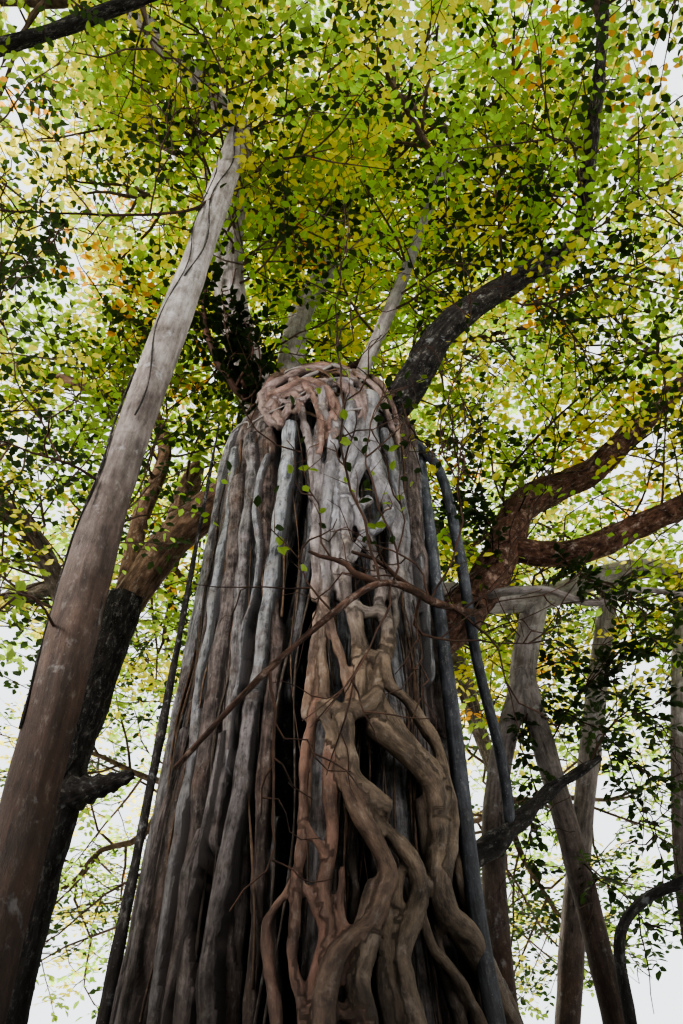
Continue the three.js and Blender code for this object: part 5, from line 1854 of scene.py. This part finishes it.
# The seed of the leaves' random turns, and the size of the leaves on the slim front twigs
leafSeed = 11
singleSize = 0.72


# Leaves stand on both sides of a tip's twig and at its end.
def growLeaves(kind, count):
    generator = np.random.default_rng(leafSeed)
    chosen = [tip for tip in tips if tip[4] == kind]
    starts = np.array([tip[0] for tip in chosen])
    away = np.linalg.norm(starts - view["place"], axis=1)
    size = growth["leafLength"] * np.clip(away / growth["fullFrom"], growth["smallest"], 1)
    if kind == "single":
        size = growth["leafLength"] * singleSize
    heading = np.array([tip[1] for tip in chosen]) - starts
    length = np.linalg.norm(heading, axis=1)
    heading /= length[:, None]
    flat = levelAcross(heading)
    leaves = {"place": [], "aim": [], "face": [], "size": [], "tint": [], "part": []}
    for leaf in range(count):
        share = blend(0.15, 1.0, leaf / (count - 1)) + generator.uniform(-0.05, 0.0, len(chosen))
        side = 0.0 if leaf == count - 1 else (1 if leaf % 2 else -1)
        ahead = 1.0 if side == 0 else 0.55
        aim = heading * ahead + flat * side + generator.normal(0, 0.28, (len(chosen), 3))
        aim[:, 2] -= 0.12
        leaves["place"].append(starts + heading * (length * share)[:, None])
        leaves["aim"].append(aim)
        leaves["face"].append(up + generator.normal(0, 0.42, (len(chosen), 3)))
        leaves["size"].append(size * generator.uniform(0.72, 1.2, len(chosen)))
        leaves["tint"].append(np.array([tip[2] for tip in chosen]))
        leaves["part"].append(np.array([tip[3] for tip in chosen]))
    return {label: np.concatenate(values) for label, values in leaves.items()}


def buildLeaves(nodes):
    kinds = [growLeaves(kind, count) for kind, count in growth["leaves"].items()]
    leaves = {label: np.concatenate([kind[label] for kind in kinds]) for label in kinds[0]}
    leaf = makeLeaf()
    for tint, material in leafMaterials.items():
        for part in ("low", "upper"):
            chosen = (leaves["tint"] == tint) & (leaves["part"] == part)
            name = f"leaves_{tint}_{part}"
            aimed = {label: leaves[label][chosen] for label in ("aim", "face", "size")}
            obj = meshObject(name, leaves["place"][chosen], [], **aimed)
            runTree(obj, leafTree, {"Leaf": leaf, "Green": material}, name)
            finishPiece(obj, "foliage", *nodes[part])
            print(name, "leaves", int(chosen.sum()))
    bpy.data.objects.remove(leaf)


def buildCrown():
    growCrown()
    growNearTwigs()
    nodes = {
        "low": [f"foliage_{name}" for name in masses if name.startswith("low")],
        "upper": [f"foliage_{name}" for name in masses if not name.startswith("low")],
    }
    for part in ("low", "upper"):
        buildWood(f"twigs_{part}", wood[part], 6, nodes[part])
        buildWood(f"fine_twigs_{part}", fine[part], 3, nodes[part])
        buildTipTwigs(f"tip_twigs_{part}", part, nodes[part])
    buildWood("front_twigs", wood["front"], 7, nodes["upper"], darkTwigBark)
    buildWood("wiry_twigs", wood["wiry"], 4, nodes["upper"], darkTwigBark)
    buildLeaves(nodes)


# Stage

stage = {
    "floorHalf": 60.0, "floorColour": (0.44, 0.43, 0.41, 1.0), "floorRoughness": 0.8,
    "skyColour": (0.93, 0.97, 1.0, 1.0), "skyStrength": 1.58,
    "sunPower": 7.5, "sunSpread": 5, "sunColour": (1.0, 0.93, 0.82), "sunTilt": (-28, -22),
    "areaSize": 2.5, "areaColour": (1.0, 0.93, 0.88), "clip": 200,
}

# The side lights: where each one is, which way it looks, and its power
areaLights = {
    "sideLight": ((-7.5, -7.5, 8.5), (7.5, 7.5, 1.5), 2300),
    "fillLight": ((6.5, -8.0, 8.0), (-5.5, 8.0, 1.0), 700),
}

# The side lights stand near the outer crown, so they fall only on the wood further in.
unlitLimbs = ("bough_low_6", "bough_low_7", "low_left_branch", "far_left_pillar", "front_right_pillar")


def aimSideLights():
    lit = bpy.data.collections.new("litWood")
    for obj in bpy.context.scene.collection.objects:
        inner = obj.name.endswith("_wood") and not obj.name.startswith(unlitLimbs)
        if inner or "roots" in obj.name or obj.name in ("front_twigs", "wiry_twigs"):
            lit.objects.link(obj)
    for name in areaLights:
        bpy.data.objects[name].light_linking.receiver_collection = lit


def addToScene(name, data, place, turn):
    obj = bpy.data.objects.new(name, data)
    obj.location = place
    obj.rotation_euler = turn
    bpy.context.scene.collection.objects.link(obj)
    return obj


def addLight(name, kind, power, colour, place, turn):
    light = bpy.data.lights.new(name, kind)
    light.energy = power
    light.color = colour
    addToScene(name, light, place, turn)
    return light


def buildStage():
    half = stage["floorHalf"]
    corners = [(-half, -half, 0), (half, -half, 0), (half, half, 0), (-half, half, 0)]
    floor = meshObject("floor", corners, [[0, 1, 2, 3]])
    pale, _, surface = startMaterial("paleFloor", stage["floorRoughness"])
    surface.inputs["Base Color"].default_value = stage["floorColour"]
    floor.data.materials.append(pale)
    bpy.context.scene.view_settings.look = "AgX - High Contrast"
    world = bpy.data.worlds.new("paleSky")
    bpy.context.scene.world = world
    world.use_nodes = True
    sky = world.node_tree.nodes["Background"]
    sky.inputs["Color"].default_value = stage["skyColour"]
    sky.inputs["Strength"].default_value = stage["skyStrength"]
    sunTurn = (math.radians(stage["sunTilt"][0]), math.radians(stage["sunTilt"][1]), 0)
    sun = addLight("softSun", "SUN", stage["sunPower"], stage["sunColour"], (0, 0, 0), sunTurn)
    sun.angle = math.radians(stage["sunSpread"])
    for name, (place, aim, power) in areaLights.items():
        turn = (math.atan2(math.hypot(aim[0], aim[1]), -aim[2]), 0, math.atan2(-aim[0], aim[1]))
        area = addLight(name, "AREA", power, stage["areaColour"], place, turn)
        area.size = stage["areaSize"]
    camera = bpy.data.cameras.new("camera")
    camera.sensor_fit = "VERTICAL"
    camera.sensor_height = view["sensor"]
    camera.lens = view["sensor"] * view["focal"] / view["tall"]
    camera.clip_end = stage["clip"]
    cameraTurn = (math.radians(90 + view["tilt"]), 0, 0)
    bpy.context.scene.camera = addToScene("camera", camera, view["place"], cameraTurn)
    print("stage made")


buildStage()
buildTrunk()
buildLattice()
buildLimbs()
buildProp()
buildThinRoots()
buildCrown()
aimSideLights()
